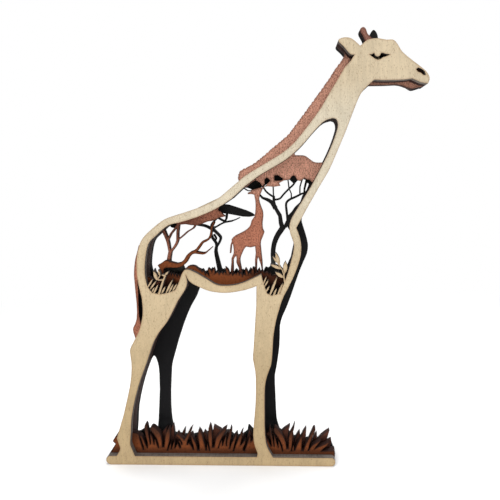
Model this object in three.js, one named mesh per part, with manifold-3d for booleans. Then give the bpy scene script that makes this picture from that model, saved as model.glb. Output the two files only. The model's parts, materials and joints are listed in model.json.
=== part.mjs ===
// A standing giraffe of four laser-cut plywood sheets, glued face to face on one long foot.
// Millimetres, +Z up. The origin is under the middle of the figure, on the surface it stands on.
// X runs along the giraffe, towards its nose, and +Y runs away from the natural birch front sheet.
//
// Every sheet has the same giraffe-shaped frame, whose body and neck are an open window. Behind
// the birch sheet, the brown, copper and black ones hold a savanna scene, each a step deeper.

import * as THREE from "three";
import { mergeVertices } from "three/addons/utils/BufferGeometryUtils.js";
import Module from "manifold-3d";

// Driving dimensions.
const DEPTH = 20; // front face to back face
const SHEETS = 4;
const GLUE = 0.1; // a film of glue between two sheets
const CLEAR = 0.02; // from a film to the sheet on each side of it
const BASE_TOP = 5.3; // height of the long foot
const SHEET = (DEPTH - (SHEETS - 1) * (GLUE + 2 * CLEAR)) / SHEETS;
const PITCH = SHEET + GLUE + 2 * CLEAR;

// A deeper sheet's scenery is drawn as it lines up from the front, and grows about this point.
const SIGHT = [14.65, 165.2];
const GROWTH = 0.0147; // share of its size, for each sheet of depth

// How far a straight piece may lie from the curve that it stands for.
const TOLERANCE = 0.07;
const GLUE_TOLERANCE = 0.4;

const FRONT = 0;
const BROWN = 1;
const COPPER = 2;
const BLACK = 3;

const FINISHES = [
  { name: "front_birch_sheet", color: 0xe0cfa8, roughness: 0.62, metalness: 0 },
  { name: "brown_savanna_sheet", color: 0x7a4526, roughness: 0.55, metalness: 0 },
  { name: "copper_scene_sheet", color: 0xb9806a, roughness: 0.38, metalness: 0.75 },
  { name: "black_back_sheet", color: 0x1d1d1f, roughness: 0.45, metalness: 0 },
];
const GLUE_FINISH = { color: 0xcdbb93, roughness: 0.5, metalness: 0 };

const wasm = await Module();
wasm.setup();

// ---------------------------------------------------------------------------------------------
// Flat shapes, drawn as [x, z].

const vector = ([x, z]) => new THREE.Vector2(x, z);

// Where to cut a curve into straight pieces: each span is halved until it lies close enough.
function cuts(curve, spans, tolerance) {
  const places = [0];
  const halve = (t0, t1) => {
    const p0 = curve.getPoint(t0);
    const chord = curve.getPoint(t1).sub(p0);
    const middle = curve.getPoint((t0 + t1) / 2).sub(p0);
    if (Math.abs(chord.cross(middle)) / chord.length() > tolerance) {
      halve(t0, (t0 + t1) / 2);
      halve((t0 + t1) / 2, t1);
    } else {
      places.push(t1);
    }
  };
  for (let i = 0; i < spans; i += 1) halve(i / spans, (i + 1) / spans);
  return places;
}

// A closed outline. Each stretch starts where the last one ended: one point is a straight line
// to it, several are one smooth curve through them, and two stretches meet at a corner.
function region(start, ...stretches) {
  const outline = [vector(start)];
  for (const stretch of stretches) {
    const points = [outline.at(-1), ...stretch.map(vector)];
    const curve = new THREE.SplineCurve(points);
    const places = points.length > 2 ? cuts(curve, points.length - 1, TOLERANCE) : [0, 1];
    outline.push(...places.slice(1).map((t) => curve.getPoint(t)));
  }
  return new THREE.Shape(outline);
}

// A branch or stem along a smooth curve, from one width to another.
function limb(points, width, endWidth = width, tolerance = TOLERANCE) {
  const spine = new THREE.SplineCurve(points.map(vector));
  const left = [];
  const right = [];
  for (const t of cuts(spine, points.length - 1, tolerance)) {
    const at = spine.getPoint(t);
    const along = spine.getTangent(t);
    const half = THREE.MathUtils.lerp(width, endWidth, t) / 2;
    left.push(new THREE.Vector2(at.x - along.y * half, at.y + along.x * half));
    right.unshift(new THREE.Vector2(at.x + along.y * half, at.y - along.x * half));
  }
  return new THREE.Shape([...left, ...right]);
}

// The points after the first of a bowed edge, which its middle pulls sideways to a given place.
function bow(from, middle, to) {
  const edge = new THREE.QuadraticBezierCurve(vector(from), vector(middle), vector(to));
  return cuts(edge, 1, TOLERANCE).slice(1).map((t) => edge.getPoint(t));
}

// A leaf from its stem to its tip, widest a little under the middle.
function leaf(stem, tip, width) {
  const [x, z] = [tip[0] - stem[0], tip[1] - stem[1]];
  const side = [(-z / Math.hypot(x, z)) * width, (x / Math.hypot(x, z)) * width];
  const belly = [stem[0] + 0.45 * x, stem[1] + 0.45 * z];
  return new THREE.Shape([
    ...bow(stem, [belly[0] + side[0], belly[1] + side[1]], tip),
    ...bow(tip, [belly[0] - side[0], belly[1] - side[1]], stem),
  ]);
}

// A bed of grass standing on the level z = foot. The row alternates between the bottom of a gap,
// [x, z], and a blade's tip, [x, z, lean, fat]: lean bows both edges sideways, fat bows them apart.
function grass(foot, row) {
  const outline = [vector([row[0][0], foot]), vector(row[0])];
  for (let i = 1; i < row.length; i += 1) {
    const [x0, z0, leanDown = 0, fatDown = 0] = row[i - 1];
    const [x1, z1, leanUp = 0, fatUp = 0] = row[i];
    const side = leanDown + fatDown + leanUp - fatUp;
    outline.push(...bow([x0, z0], [(x0 + x1) / 2 + side, (z0 + z1) / 2], [x1, z1]));
  }
  outline.push(vector([row.at(-1)[0], foot]));
  return new THREE.Shape(outline);
}

// The comb edge of a mane: a point every pitch along the curve, pushed out, and a notch after it.
function comb(points, pitch, height, offset = 0) {
  const edge = new THREE.SplineCurve(points.map(vector));
  const teeth = Math.round(edge.getLength() / pitch);
  const out = [];
  for (let i = 0; i < teeth; i += 1) {
    for (const [phase, reach] of [[0.1, offset], [0.7, offset + height]]) {
      const at = edge.getPointAt((i + phase) / teeth);
      const along = edge.getTangentAt((i + phase) / teeth);
      out.push([at.x - along.y * reach, at.y + along.x * reach]);
    }
  }
  return out;
}

// ---------------------------------------------------------------------------------------------
// Solids.

function solidOf(geometry) {
  geometry.deleteAttribute("normal");
  geometry.deleteAttribute("uv");
  const merged = mergeVertices(geometry, 1e-4);
  return new wasm.Manifold(
    new wasm.Mesh({
      numProp: 3,
      vertProperties: merged.getAttribute("position").array,
      triVerts: new Uint32Array(merged.index.array),
    }),
  );
}

// A flat shape as a plate from the depth y to the depth y + thickness, grown about the sight point.
function plate(shape, y, thickness, scale = 1) {
  const geometry = new THREE.ExtrudeGeometry(shape, { depth: thickness, bevelEnabled: false });
  geometry.translate(-SIGHT[0], -SIGHT[1], 0).scale(scale, scale, 1).translate(SIGHT[0], SIGHT[1], 0);
  geometry.rotateX(Math.PI / 2).translate(0, y + thickness, 0);
  return solidOf(geometry);
}

const sheetFront = (sheet) => sheet * PITCH - DEPTH / 2;

// A shape at its own size, in one sheet.
const cut = (sheet, shape) => plate(shape, sheetFront(sheet), SHEET);

// A shape of the scenery, drawn as it lines up from the front, in one sheet.
const scenery = (sheet, shape) => plate(shape, sheetFront(sheet), SHEET, 1 + GROWTH * sheet);

const join = (first, ...others) => others.reduce((whole, part) => whole.add(part), first);

function meshOf(solid, { name, color, roughness, metalness }) {
  const { vertProperties, triVerts } = solid.getMesh();
  const geometry = new THREE.BufferGeometry();
  geometry.setAttribute("position", new THREE.BufferAttribute(vertProperties, 3));
  geometry.setIndex(new THREE.BufferAttribute(triVerts, 1));
  geometry.computeVertexNormals();
  const mesh = new THREE.Mesh(
    geometry,
    new THREE.MeshStandardMaterial({ color, roughness, metalness }),
  );
  mesh.name = name;
  return mesh;
}

// ---------------------------------------------------------------------------------------------
// The frame that all four sheets share.

function silhouette() {
  return region(
    [-90, 0],
    // the round heel end of the foot
    [[-91.9, 0.8], [-92.8, 2.6], [-92.3, 4.3], [-91, BASE_TOP]],
    [[-86.4, BASE_TOP]],
    // hind leg, from the hoof up to the hock and the tail side of the thigh
    [[-84.9, 7.8], [-84.1, 9.9], [-84.8, 12.6], [-85.9, 16.2]],
    [[-84.4, 20.5], [-81.3, 30], [-78.9, 39], [-76.9, 47], [-75.6, 55], [-75.3, 62], [-75.9, 68.4],
      [-75, 71.5], [-73.2, 74.8], [-71.1, 78.5], [-69.6, 82], [-68.1, 87.5], [-67.5, 92.5],
      [-67.8, 99.9], [-68.9, 105.1], [-70, 112.5], [-70, 120], [-69.1, 126.5], [-66.3, 133.5],
      [-60.2, 139.5], [-52.8, 144.7], [-45.3, 147.1], [-35.1, 150.3], [-23.9, 155], [-15, 161.8],
      // the back of the neck
      [-8, 167.5], [0, 172.3], [7, 176.3], [13, 179.8], [20, 185.5], [28, 195], [34.7, 203.9],
      [40, 212.8], [44, 219.1], [47.3, 224.7], [50.1, 227.5], [52.6, 231.2]],
    // ear
    [[50.6, 231.4], [48.9, 233.1], [47, 235.5], [44.4, 237.9], [44.3, 239.5], [47, 240.4],
      [50.1, 240.1], [52.6, 238.6], [55.6, 235.8]],
    // crown, brow and nose
    [[57.6, 237.4], [60.2, 239], [65.2, 239.4], [69.5, 238.5], [73, 238.4], [75.4, 236],
      [78, 231.9], [83.7, 227.1], [90, 222.1], [92.4, 218.2], [91.6, 215.1]],
    // upper lip, cheek and throat
    [[87.6, 215.9], [83.2, 218]],
    [[80.4, 217.6], [74, 217.4], [68, 217.5], [63.1, 217.9]],
    [[59.9, 215.1], [55.7, 210.2], [51.9, 201.3], [47.7, 190.4], [43, 179.5], [38.5, 169.5],
      [33, 160.5], [27.5, 151], [23.3, 143.5], [20.6, 138.7]],
    // chest
    [[22.4, 133.8], [23.3, 128], [22.4, 120.9], [18.4, 110.2], [13.4, 100.7]],
    // foreleg, down to the foot
    [[11.9, 97.1], [9.3, 88.7], [7.8, 82], [6.8, 75], [6.3, 67], [5.4, 60], [3.1, 54],
      [1.7, 47], [1.4, 38], [1.2, 24], [1.8, 14.5], [3.4, 9.5], [5.8, BASE_TOP - 0.2]],
    [[39.9, BASE_TOP - 0.2]],
    // the round toe end of the foot
    [[41.4, 4.2], [41.8, 2.5], [41.3, 0.8], [39.9, 0]],
  );
}

// The open space between the hind leg and the foreleg, under the belly.
function legOpening() {
  return region(
    [-75.4, BASE_TOP],
    [[-77.4, 10.6], [-78, 13.4], [-77.3, 20], [-76.5, 29], [-73.8, 41], [-70.3, 52],
      [-66.5, 61.5], [-62.7, 72], [-60.2, 77], [-57.5, 81], [-54.2, 85], [-50.9, 90.6],
      [-47.2, 97.8], [-42.9, 104.1], [-41.4, 108.6], [-42.1, 112.8]],
    [[-39.7, 108.8], [-34.1, 105.6], [-27.6, 103.2], [-18.9, 102.4], [-8.7, 103.9], [-2.1, 106.1]],
    [[-2.4, 95], [-3.2, 85], [-4.4, 70], [-4.8, 63.5], [-3.6, 56.5], [-3.4, 48], [-3.8, 37],
      [-4.8, 27], [-5.5, 18.5], [-4.7, 12], [-3.2, 7.8], [-3.6, BASE_TOP]],
  );
}

// The window through the neck and the body. Its floor is the belly strip and the two thighs.
function bodyWindow() {
  return region(
    [41, 198.2],
    // down the back of the neck and round the rump
    [[38.2, 197.5], [35.1, 195.7], [30, 190.5], [25, 184.8], [19, 179.2], [13, 175],
      [7, 171.6], [0.5, 168], [-8, 161.8], [-15, 155.5], [-24.8, 149.6], [-35.1, 145.4],
      [-44.9, 142.6], [-51.4, 141], [-58.9, 134.9], [-62.8, 130.7], [-64.9, 122.3],
      [-65.5, 113.5], [-64.2, 106.2]],
    [[-61.6, 102.7]],
    [[-57.2, 101.9]],
    [[-52.8, 102.6]],
    [[-48.4, 104.2]],
    // over the top of the belly strip
    [[-46.3, 108.3], [-44, 114], [-41.4, 116], [-36, 113.9], [-29.9, 110.2], [-24.8, 107.1],
      [-19, 106.4], [-12.5, 107.2], [-6.3, 109.5], [0.7, 112.8]],
    [[1.9, 107.6]],
    [[3.9, 101.8]],
    [[6.5, 100.6]],
    [[10.9, 101.7]],
    // up the chest and the throat
    [[14.2, 109.5], [17, 118.1], [19.2, 128.5], [17, 136.6], [17.5, 142.7], [21.9, 150.3],
      [29, 161.5], [36, 174.5], [40.5, 184], [43.5, 192.8], [43.4, 196.3]],
    [[42.6, 197.7], [41, 198.2]],
  );
}

function giraffeFrame(sheet) {
  return cut(sheet, silhouette())
    .subtract(cut(sheet, legOpening()))
    .subtract(cut(sheet, bodyWindow()));
}

// ---------------------------------------------------------------------------------------------
// Sheet 1: natural birch, with cut grass and two sprigs of leaves at the top of the thighs.

// Needles of grass on the thighs: foot, tip and width.
const THIGH_NEEDLES = [
  [[-64.8, 104.8], [-60.9, 110.9], 1],
  [[-63.2, 104.2], [-58.9, 109.9], 1],
  [[-61.9, 103], [-60.1, 106], 0.9],
  [[-61.4, 101.2], [-58, 107.7], 1.1],
  [[-56.4, 102], [-53.9, 106.4], 1.1],
  [[-54.2, 101.6], [-49.5, 110.6], 1.2],
  [[-52.3, 102.4], [-49.2, 107.9], 1.1],
  [[-50.1, 103.4], [-47.2, 108], 1.1],
  [[1.4, 106.4], [3.7, 111.6], 0.9],
  [[2.2, 105.4], [4.8, 109.7], 0.9],
  [[3, 102.4], [5.3, 106.2], 1],
  [[4.8, 99.4], [9.7, 111.4], 1.4],
  [[6.9, 99.4], [9.3, 104.9], 1.1],
  [[9.1, 99.4], [12.9, 107.9], 1.2],
];

function chestSprig() {
  return [
    limb([[14.4, 106.4], [13.8, 108.1], [13.5, 110.4], [13.3, 112.8], [12.5, 115.2], [11.4, 116.9],
      [10.6, 118.3], [9.7, 119.6]], 0.8, 0.5),
    limb([[13.3, 112], [14, 113.8]], 0.6, 0.5),
    leaf([11.1, 117.4], [8.9, 125.1], 2.1),
    leaf([10.3, 118.7], [7.3, 122.9], 1.2),
    leaf([12.2, 115.6], [5.8, 118.3], 1.8),
    leaf([14, 113.2], [14.4, 120], 2.5),
    leaf([13.4, 110.6], [8.5, 114], 2),
  ];
}

function thighSprig() {
  return [
    limb([[-57.9, 101.6], [-56.1, 106.9], [-55.2, 109.5], [-54.2, 111.7], [-53.6, 113.4]],
      1.3, 0.7),
    limb([[-55, 110.1], [-57.4, 110.1], [-59.2, 110.6]], 0.8, 0.7),
    leaf([-58.5, 109.8], [-60.4, 115.2], 2.1),
    limb([[-58.4, 110.4], [-57.3, 111.8], [-56.8, 113]], 0.6, 0.6),
    leaf([-56.8, 112.4], [-57.9, 116], 1.2),
    leaf([-53.4, 112.2], [-56, 113.1], 1),
    leaf([-54, 112.8], [-52, 114.8], 1.2),
  ];
}

// A closed eye with its lashes, cut down to the black sheet.
function eye() {
  return region(
    [60.5, 231.1],
    [[61.8, 231.2], [62.9, 231.8], [63.7, 230.4], [64.9, 229.9], [66, 230.4], [66.9, 231.8],
      [68.8, 231.3], [71.4, 230.7]],
    [[69.4, 229.9], [67.7, 229.5], [66.3, 228.5], [64.9, 228.3], [63.3, 228.9], [62, 230],
      [60.5, 231.1]],
  );
}

// A nostril, cut through the front sheet.
function nostril() {
  return region(
    [85.2, 222.8],
    [[86.4, 223.5], [88.3, 222.7], [89.8, 221.3], [90.3, 219.7]],
    [[89.2, 219.6], [87.7, 220.8], [86, 221.5], [85.2, 222.8]],
  );
}

function frontSheet() {
  const additions = [
    ...THIGH_NEEDLES.map((one) => leaf(...one)),
    ...chestSprig(),
    ...thighSprig(),
  ].map((shape) => cut(FRONT, shape));
  return join(giraffeFrame(FRONT), ...additions)
    .subtract(cut(FRONT, eye()))
    .subtract(cut(FRONT, nostril()));
}

// ---------------------------------------------------------------------------------------------
// Sheet 2: saddle brown, with the nearest grass, the belly ground and a leaning dead tree.

// Grass between the hind hoof and the fore hoof: gaps cut between long bowed blades.
function longGrass() {
  return region(
    [-78, 5.4],
    [[-78, 20]],
    [[-73.2, 19], [-72.4, 16], [-71.5, 12.8], [-70.5, 9.3]],
    [[-70, 9.2]],
    [[-70.2, 11.9], [-71.1, 15.1], [-72.2, 18]],
    [[-71, 17.4], [-70, 15.2], [-69, 12.4], [-68.1, 10.4]],
    [[-67.7, 10.5], [-67.6, 13.6], [-68.3, 16.7], [-69.1, 20.6], [-69.2, 23.4], [-68.5, 25.2]],
    [[-67.7, 24.2], [-67.3, 21.8], [-66.9, 17.8], [-66.5, 14.6], [-66.3, 12.6]],
    [[-65.9, 12.7], [-65.7, 14.6], [-66.1, 19]],
    [[-65, 17.2], [-64.5, 15.1], [-63.9, 12.4]],
    [[-63.6, 12.6], [-63.3, 16.1]],
    [[-62.8, 14.7], [-62.1, 12], [-61.4, 10.4]],
    [[-61, 10.6], [-61.3, 13.4], [-62.1, 16], [-63.3, 18.2], [-64.8, 20.1], [-65.8, 21.8]],
    [[-65.6, 22.9], [-64.7, 23.4], [-63.6, 23.1], [-62.3, 22], [-60.6, 20.3], [-59.6, 18],
      [-59.2, 15], [-59.1, 10.8]],
    [[-57.9, 10.8]],
    [[-57.5, 13.4], [-57.1, 17], [-56.4, 19.9], [-54.8, 22.9]],
    [[-54.3, 21.4], [-54.2, 18.6], [-54.6, 15.6], [-55.3, 12.8], [-56.2, 8.9]],
    [[-55.7, 8.9]],
    [[-55, 10.8], [-54.1, 13.2]],
    [[-53.8, 11.6], [-54, 9.6]],
    [[-53.6, 9.6]],
    [[-52.7, 12.2], [-51.6, 14.8]],
    [[-51.6, 12.6], [-51.8, 10.3]],
    [[-51.3, 10.4]],
    [[-50.6, 12], [-49.8, 13.2]],
    [[-49.2, 11.4], [-48.6, 10.3]],
    [[-48.1, 10.7], [-48.2, 12.4], [-49.2, 15]],
    [[-48.2, 14.4], [-47.5, 12.4]],
    [[-47.1, 12.9], [-47.6, 14.7], [-48.7, 16.2], [-50.1, 17.5], [-50.4, 18.5], [-49.7, 19.3]],
    [[-48.5, 18.1], [-47.2, 16.7], [-45.9, 15.3]],
    [[-45, 16.7], [-44, 18.7], [-42.6, 21.4], [-40.8, 23.3]],
    [[-41.4, 21.6], [-42.1, 19.2], [-43.4, 16.6], [-44.3, 14.4], [-44.5, 12.4]],
    [[-44, 12.4]],
    [[-43.3, 13.5]],
    [[-42.2, 12], [-41.4, 10.6], [-40.9, 9.4]],
    [[-40.4, 9.6], [-40.6, 12], [-41.4, 14.6], [-41.7, 17.8]],
    [[-40.6, 16.2], [-39.5, 13.8], [-38.7, 11.6], [-38.2, 8.9]],
    [[-37.1, 8.9]],
    [[-37, 12], [-37.4, 15.3], [-37.9, 19], [-37.2, 21.8]],
    [[-36.1, 20.3], [-35.3, 18.4], [-34.6, 14.8], [-33.9, 11.8], [-33.4, 9.1]],
    [[-32.9, 9.2]],
    [[-32.7, 11.2], [-32.5, 13.3]],
    [[-32, 11.6], [-31.4, 9]],
    [[-30.9, 9.1], [-31.3, 12.2], [-31.7, 15], [-31.8, 18.6], [-31.5, 22.4], [-30.8, 24.7]],
    [[-30.1, 23.4], [-29.6, 21], [-29.4, 17.4], [-29.6, 13.6], [-29.7, 10.9]],
    [[-28.3, 10.9]],
    [[-27.9, 13.4], [-27.1, 16.6], [-25.2, 19.2], [-23.2, 21.5], [-20.7, 23.2]],
    [[-20.9, 21.8], [-22, 19.8], [-23.5, 17.5], [-24.8, 14.8], [-25.8, 12], [-26.2, 10.4]],
    [[-25.8, 10.5]],
    [[-25, 13.2], [-23.8, 15.3]],
    [[-23.7, 13.6], [-23.7, 12]],
    [[-23.3, 12.1]],
    [[-22.6, 14.8], [-21.2, 18.4]],
    [[-21.2, 16], [-21.5, 13.6], [-21.5, 11.9]],
    [[-21, 11.9]],
    [[-20.8, 14.8], [-20.2, 16.8], [-19.5, 19.8], [-18.4, 23.3]],
    [[-17.8, 21.6], [-18, 19.4], [-18.6, 16.8], [-19.3, 13.4], [-19.6, 10.2]],
    [[-19.2, 10.3]],
    [[-18.2, 13.3], [-16.5, 16.8], [-15.2, 19.6]],
    [[-15.2, 17.6], [-15.9, 15.2], [-16.7, 12.4], [-17.4, 8.7]],
    [[-16.9, 8.8]],
    [[-15.7, 12.4], [-13.7, 17.2], [-12.5, 19.7], [-11.2, 21.7]],
    [[-11.5, 19.8], [-12.1, 16.8], [-12.8, 14], [-13.2, 12.2]],
    [[-12.6, 12.5], [-11.4, 14], [-9.9, 15.6]],
    [[-10.4, 13.2], [-11.6, 10.6], [-11.5, 9.2]],
    [[-10.6, 8.7]],
    [[-9.8, 11.2], [-8.5, 14.6], [-7.3, 18.8]],
    [[-7, 16.6], [-7.1, 14.4]],
    [[-6.2, 15.2], [-5.2, 17]],
    [[-3, 14]],
    [[-3, 5.4]],
  );
}

// Grass in front of the fore hoof, fanning out over the toe of the foot.
function toeGrass() {
  return region(
    [1, 5.4],
    [[1, 18]],
    [[2.8, 16], [4, 13.4], [4.7, 11.9]],
    [[5.1, 12.2], [4.7, 16.4], [4.1, 20], [3.9, 22.6], [4.2, 24.4]],
    [[4.7, 22], [5.2, 19.2], [5.8, 16], [6.4, 11.9]],
    [[6.8, 12], [6.6, 15.6], [6.6, 19.2]],
    [[7.2, 17.2], [7.9, 14.2], [8.8, 11.1]],
    [[9.1, 11.4], [9.1, 15.6]],
    [[9.9, 13.4], [10.6, 11.2], [11.3, 8.8]],
    [[11.6, 9.2], [11.3, 12], [10.4, 14.5], [8.8, 17.6], [7, 19.9], [6.4, 21.8]],
    [[6.8, 23], [7.6, 23.3], [8.8, 22.3], [10.2, 20.5], [11.6, 18.5], [12.7, 16], [13.4, 13.4],
      [13.7, 10.4]],
    [[14.9, 10.4]],
    [[15.1, 13.4], [15.1, 16.8], [15.8, 19.6], [17.5, 22.6], [18.7, 25.9]],
    [[18.2, 22.6], [17.3, 19.4], [17.1, 16], [16.8, 12.8], [16.3, 8.9]],
    [[16.7, 9]],
    [[17.2, 11.2], [17.9, 12.7]],
    [[18, 11], [18.1, 9.2]],
    [[18.5, 9.3]],
    [[19.7, 12.2], [21.1, 15.4], [22.4, 18.2]],
    [[22.7, 16], [22.4, 13], [22.3, 9.2]],
    [[23.5, 9.2]],
    [[24.9, 13], [26.8, 16.8], [28.3, 20.3], [29.3, 22.6]],
    [[30, 23.1], [30.5, 22.3], [29.9, 20], [28.3, 16.7], [27, 13.4], [26.1, 9.3]],
    [[26.6, 9.3]],
    [[28.2, 12], [30.8, 14], [33.4, 15.4]],
    [[31.7, 13.2], [30.4, 11.5], [29.6, 10.1]],
    [[32.5, 11.7], [35.9, 13.2], [38.1, 14.5]],
    [[37, 12.4], [35, 10.8], [33.6, 9]],
    [[37.1, 9.2], [41.2, 9.2]],
    [[41.6, 5.4]],
  );
}

// The tuft behind the hind hoof.
function heelTuft() {
  return region(
    [-80, 3],
    [[-91, BASE_TOP]],
    [[-89.7, 8], [-88.3, 10.4]],
    [[-89.9, 12.2]],
    [[-88.5, 14.5], [-86.9, 15.6], [-83, 16.5]],
  );
}

// The brown ground in the window, seen between the belly strip and the scene.
function brownGround() {
  return region(
    [-67, 100],
    [[-67, 112.6]],
    [[-63.5, 112], [-61.4, 110.4], [-60.4, 106.8], [-58.6, 105.4], [-56.6, 107], [-55.4, 110.4],
      [-53.6, 112.4]],
    [[-53, 112.4]], [[-52.4, 114.3]], [[-51.6, 112.8]], [[-51, 114.2]], [[-50.2, 112.6]],
    [[-49.4, 114]], [[-48.6, 112.2]], [[-47.8, 113.6]], [[-47, 111.6]], [[-46.2, 113.2]],
    [[-45.4, 111.8]],
    [[-44.2, 114.2], [-42.6, 116], [-41, 117.6], [-38.6, 118.2], [-36, 117.5], [-33.4, 114.9],
      [-30.8, 112.8]],
    [[-28, 111.5]],
    [[6, 111.6]],
    [[9, 112.4], [12.4, 111.2], [16, 112]],
    [[9, 95]],
    [[0, 100]],
    [[-2, 109], [-20, 104.4], [-40, 110]],
    [[-44, 108]],
    [[-50, 100]],
  );
}

const BELLY_GRASS = [
  [-34.2, 114.6], [-33.8, 116.2, 0, 0.3], [-32.9, 113.8], [-31.9, 115, 0, 0.3], [-30.8, 112.6],
  [-30.2, 113.8, 0, 0.2], [-28.6, 111.9], [-29.4, 116.6, 0.6, 0.5], [-27.2, 114],
  [-26.1, 116.5, 0.3, 0.4], [-25.7, 113], [-24, 114.3, 0, 0.3], [-23, 112.8],
  [-21.8, 114.2, 0, 0.3], [-20.8, 113], [-20.1, 114.3, 0, 0.2], [-18.9, 112.9],
  [-19.5, 117.3, 0.7, 0.5], [-17.2, 112.6], [-16.3, 113.6, 0, 0.2], [-15.4, 112.1],
  [-14.4, 113.4, 0, 0.2], [-13.3, 112.8], [-12.5, 114.2, 0, 0.3], [-11.6, 112.4],
  [-10.9, 113.7, 0, 0.2], [-9.8, 111.6], [-9.1, 113, 0, 0.2], [-8, 112.2],
  [-8.3, 116.3, 0.4, 0.4], [-6.6, 112.4], [-5.7, 113.8, 0, 0.3], [-4.9, 112.6],
  [-4.1, 117, 0, 0.5], [-3.2, 112.6], [-2.2, 114, 0, 0.3], [-1.1, 113.5],
  [-0.4, 116.6, 0, 0.3], [0.3, 113.6], [1.3, 114.8, 0, 0.3], [2.7, 113.4], [4, 114.2, 0, 0.3],
  [5.2, 112.6], [5.8, 113.6, 0, 0.2], [6.6, 112],
];

function deadTree() {
  return [
    limb([[-57.2, 117.2], [-55.2, 118.3], [-53, 119], [-50.4, 118.5], [-47.4, 118.2],
      [-44.4, 118.9], [-42, 120.9], [-40.5, 123.4], [-38.4, 125.3], [-36.2, 125.8]], 3.2, 1.7),
    region(
      [-57.2, 117.6],
      [[-55.6, 120], [-53.1, 121.3], [-50.8, 120.5], [-47.4, 119.6]],
      [[-47, 117.3]],
      [[-50.9, 117.1], [-53.3, 117.1], [-54.6, 116], [-54.6, 113.6], [-53.6, 109]],
      [[-57.4, 104]],
      [[-57, 110], [-56.6, 114.5], [-56.3, 116.2], [-57.2, 117.6]],
    ),
    limb([[-37.6, 125.5], [-35.2, 127.2], [-33.4, 129.6], [-31.9, 131.4], [-29.8, 132.3],
      [-28, 133.8], [-27.1, 136.4], [-26.8, 139.2], [-25.2, 142.6]], 1.6, 0.9),
    limb([[-37.2, 125.8], [-34.6, 125.3], [-32.2, 124.9], [-30.4, 125.3], [-28.6, 126.8],
      [-26.6, 128.5]], 1.5, 0.5),
  ];
}

function brownSheet() {
  const art = [
    longGrass(), toeGrass(), brownGround(), grass(110, BELLY_GRASS), ...deadTree(),
  ];
  return join(
    giraffeFrame(BROWN).subtract(cut(BROWN, eye())),
    cut(BROWN, heelTuft()),
    ...art.map((shape) => scenery(BROWN, shape)),
  );
}

// ---------------------------------------------------------------------------------------------
// Sheet 3: copper, with the mane, tail and near horn, two acacia crowns and a small giraffe.

const COPPER_GRASS_HIND = [
  [-76, 18], [-72.6, 18.7, 0, 0.3], [-70.5, 13], [-67.3, 20.8, 0.1, 0.6], [-66.2, 15],
  [-64.4, 23.5, 0.2, 1.5], [-61.4, 16.5], [-55.8, 22.9, -0.4, 0.4], [-57.6, 14], [-55.4, 14],
  [-52.3, 24.8, -0.3, 0.8], [-51.6, 16], [-49.6, 19.9, 0, 0.7], [-48.4, 15],
  [-45.3, 22.3, -0.7, 0.6], [-46, 14.6], [-41.2, 19.4, -0.4, 0.5], [-39.6, 14],
  [-36.5, 20.8, 0, 0.8], [-35.4, 15.4], [-34, 20.5, 0.3, 1], [-31.6, 15], [-29.9, 21.4, 0, 0.7],
  [-29, 14.4], [-28.4, 23.7, -0.2, 0.4], [-24, 21], [-24, 15], [-19.8, 20.8, -0.3, 0.7],
  [-18.4, 14], [-14.9, 19.9, -0.4, 0.6], [-14.2, 14], [-10.7, 18.8, -0.4, 0.6], [-9.6, 14],
  [-7.6, 21.2, 0, 0.7], [-4, 15],
];

const COPPER_GRASS_TOE = [
  [1, 18], [5.4, 22.2, 0, 0.5], [7.2, 15], [9, 20.5, 0.2, 0.7], [9.6, 16.4],
  [15.9, 24.3, -2.2, 1.6], [14.4, 16], [17.4, 20.8, -0.3, 0.6], [18.2, 13.6],
  [21.4, 20.8, -0.6, 0.7], [22, 15.4], [25.3, 23, -0.7, 0.8], [24.6, 12.4],
  [28, 17.8, -0.4, 0.6], [28.6, 14], [31.3, 19.8, -0.3, 0.6], [31.2, 13.6],
  [38.5, 21.6, -1.3, 1.7], [35.6, 12.8], [39.5, 16, -0.7, 0.9], [38.4, 10.4],
  [41.4, 10.4, -0.3, 0.5], [41.6, 6],
];

const MANE_EDGE = [
  [-11, 165], [-11, 168.2], [-9.6, 170.8], [-6.4, 172.3], [-2.6, 174.3], [1.6, 177.3],
  [5.6, 180.6], [9.6, 183.9], [13.6, 187], [17.4, 190.4], [20.4, 194.3], [23.8, 198.6],
  [27.6, 203.6], [31.4, 208.6], [35.4, 213.9], [39.6, 219.6], [43, 224.7], [46.4, 229],
  [47.8, 232.2],
];

// The mane stands along the back of the neck; its comb is cut to the given pitch and height.
function mane(pitch, height, offset) {
  return region(
    [-6, 164],
    ...comb(MANE_EDGE, pitch, height, offset).map((point) => [point]),
    [[52, 232]],
    [[44, 214]],
    [[30, 193]],
    [[15, 178]],
    [[2, 170]],
  );
}

function lowerJaw(chin) {
  return region(
    [57, 219],
    [[60.4, 215.1]],
    [[68, 215], [74.6, 215.1], [77.8, 214.5], [80.4, 213.5], [82.6, 212.8 - chin],
      [84.4, 212.8 - chin], [86.2, 213.3 - chin], [87.9, 213.5 - chin / 2], [89.4, 214.7],
      [89.6, 216]],
    [[86, 220]],
  );
}

function nearHorn() {
  return region(
    [58.6, 236.6],
    [[57.4, 240], [55.8, 242.8], [55.7, 244.6], [57.2, 245.5], [58.6, 244.4], [59.5, 241.9],
      [61, 240.4], [63, 238]],
  );
}

function tail() {
  return region(
    [-64, 128],
    [[-67.8, 130.4], [-69.2, 127], [-70.5, 122.8], [-71.3, 118.6], [-71.8, 112.6],
      [-71.4, 104.6], [-70.9, 96.7], [-70.9, 91.6], [-71.3, 87.4]],
    [[-72.2, 84.8], [-73.4, 82.6], [-73.5, 80], [-72.2, 75.4]],
    [[-66, 74]],
    [[-66, 82]],
    [[-69, 85.4]],
    [[-69.7, 89.7], [-69.8, 96], [-69.7, 103.7], [-69.8, 109.7]],
    [[-66, 113]],
  );
}

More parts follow.
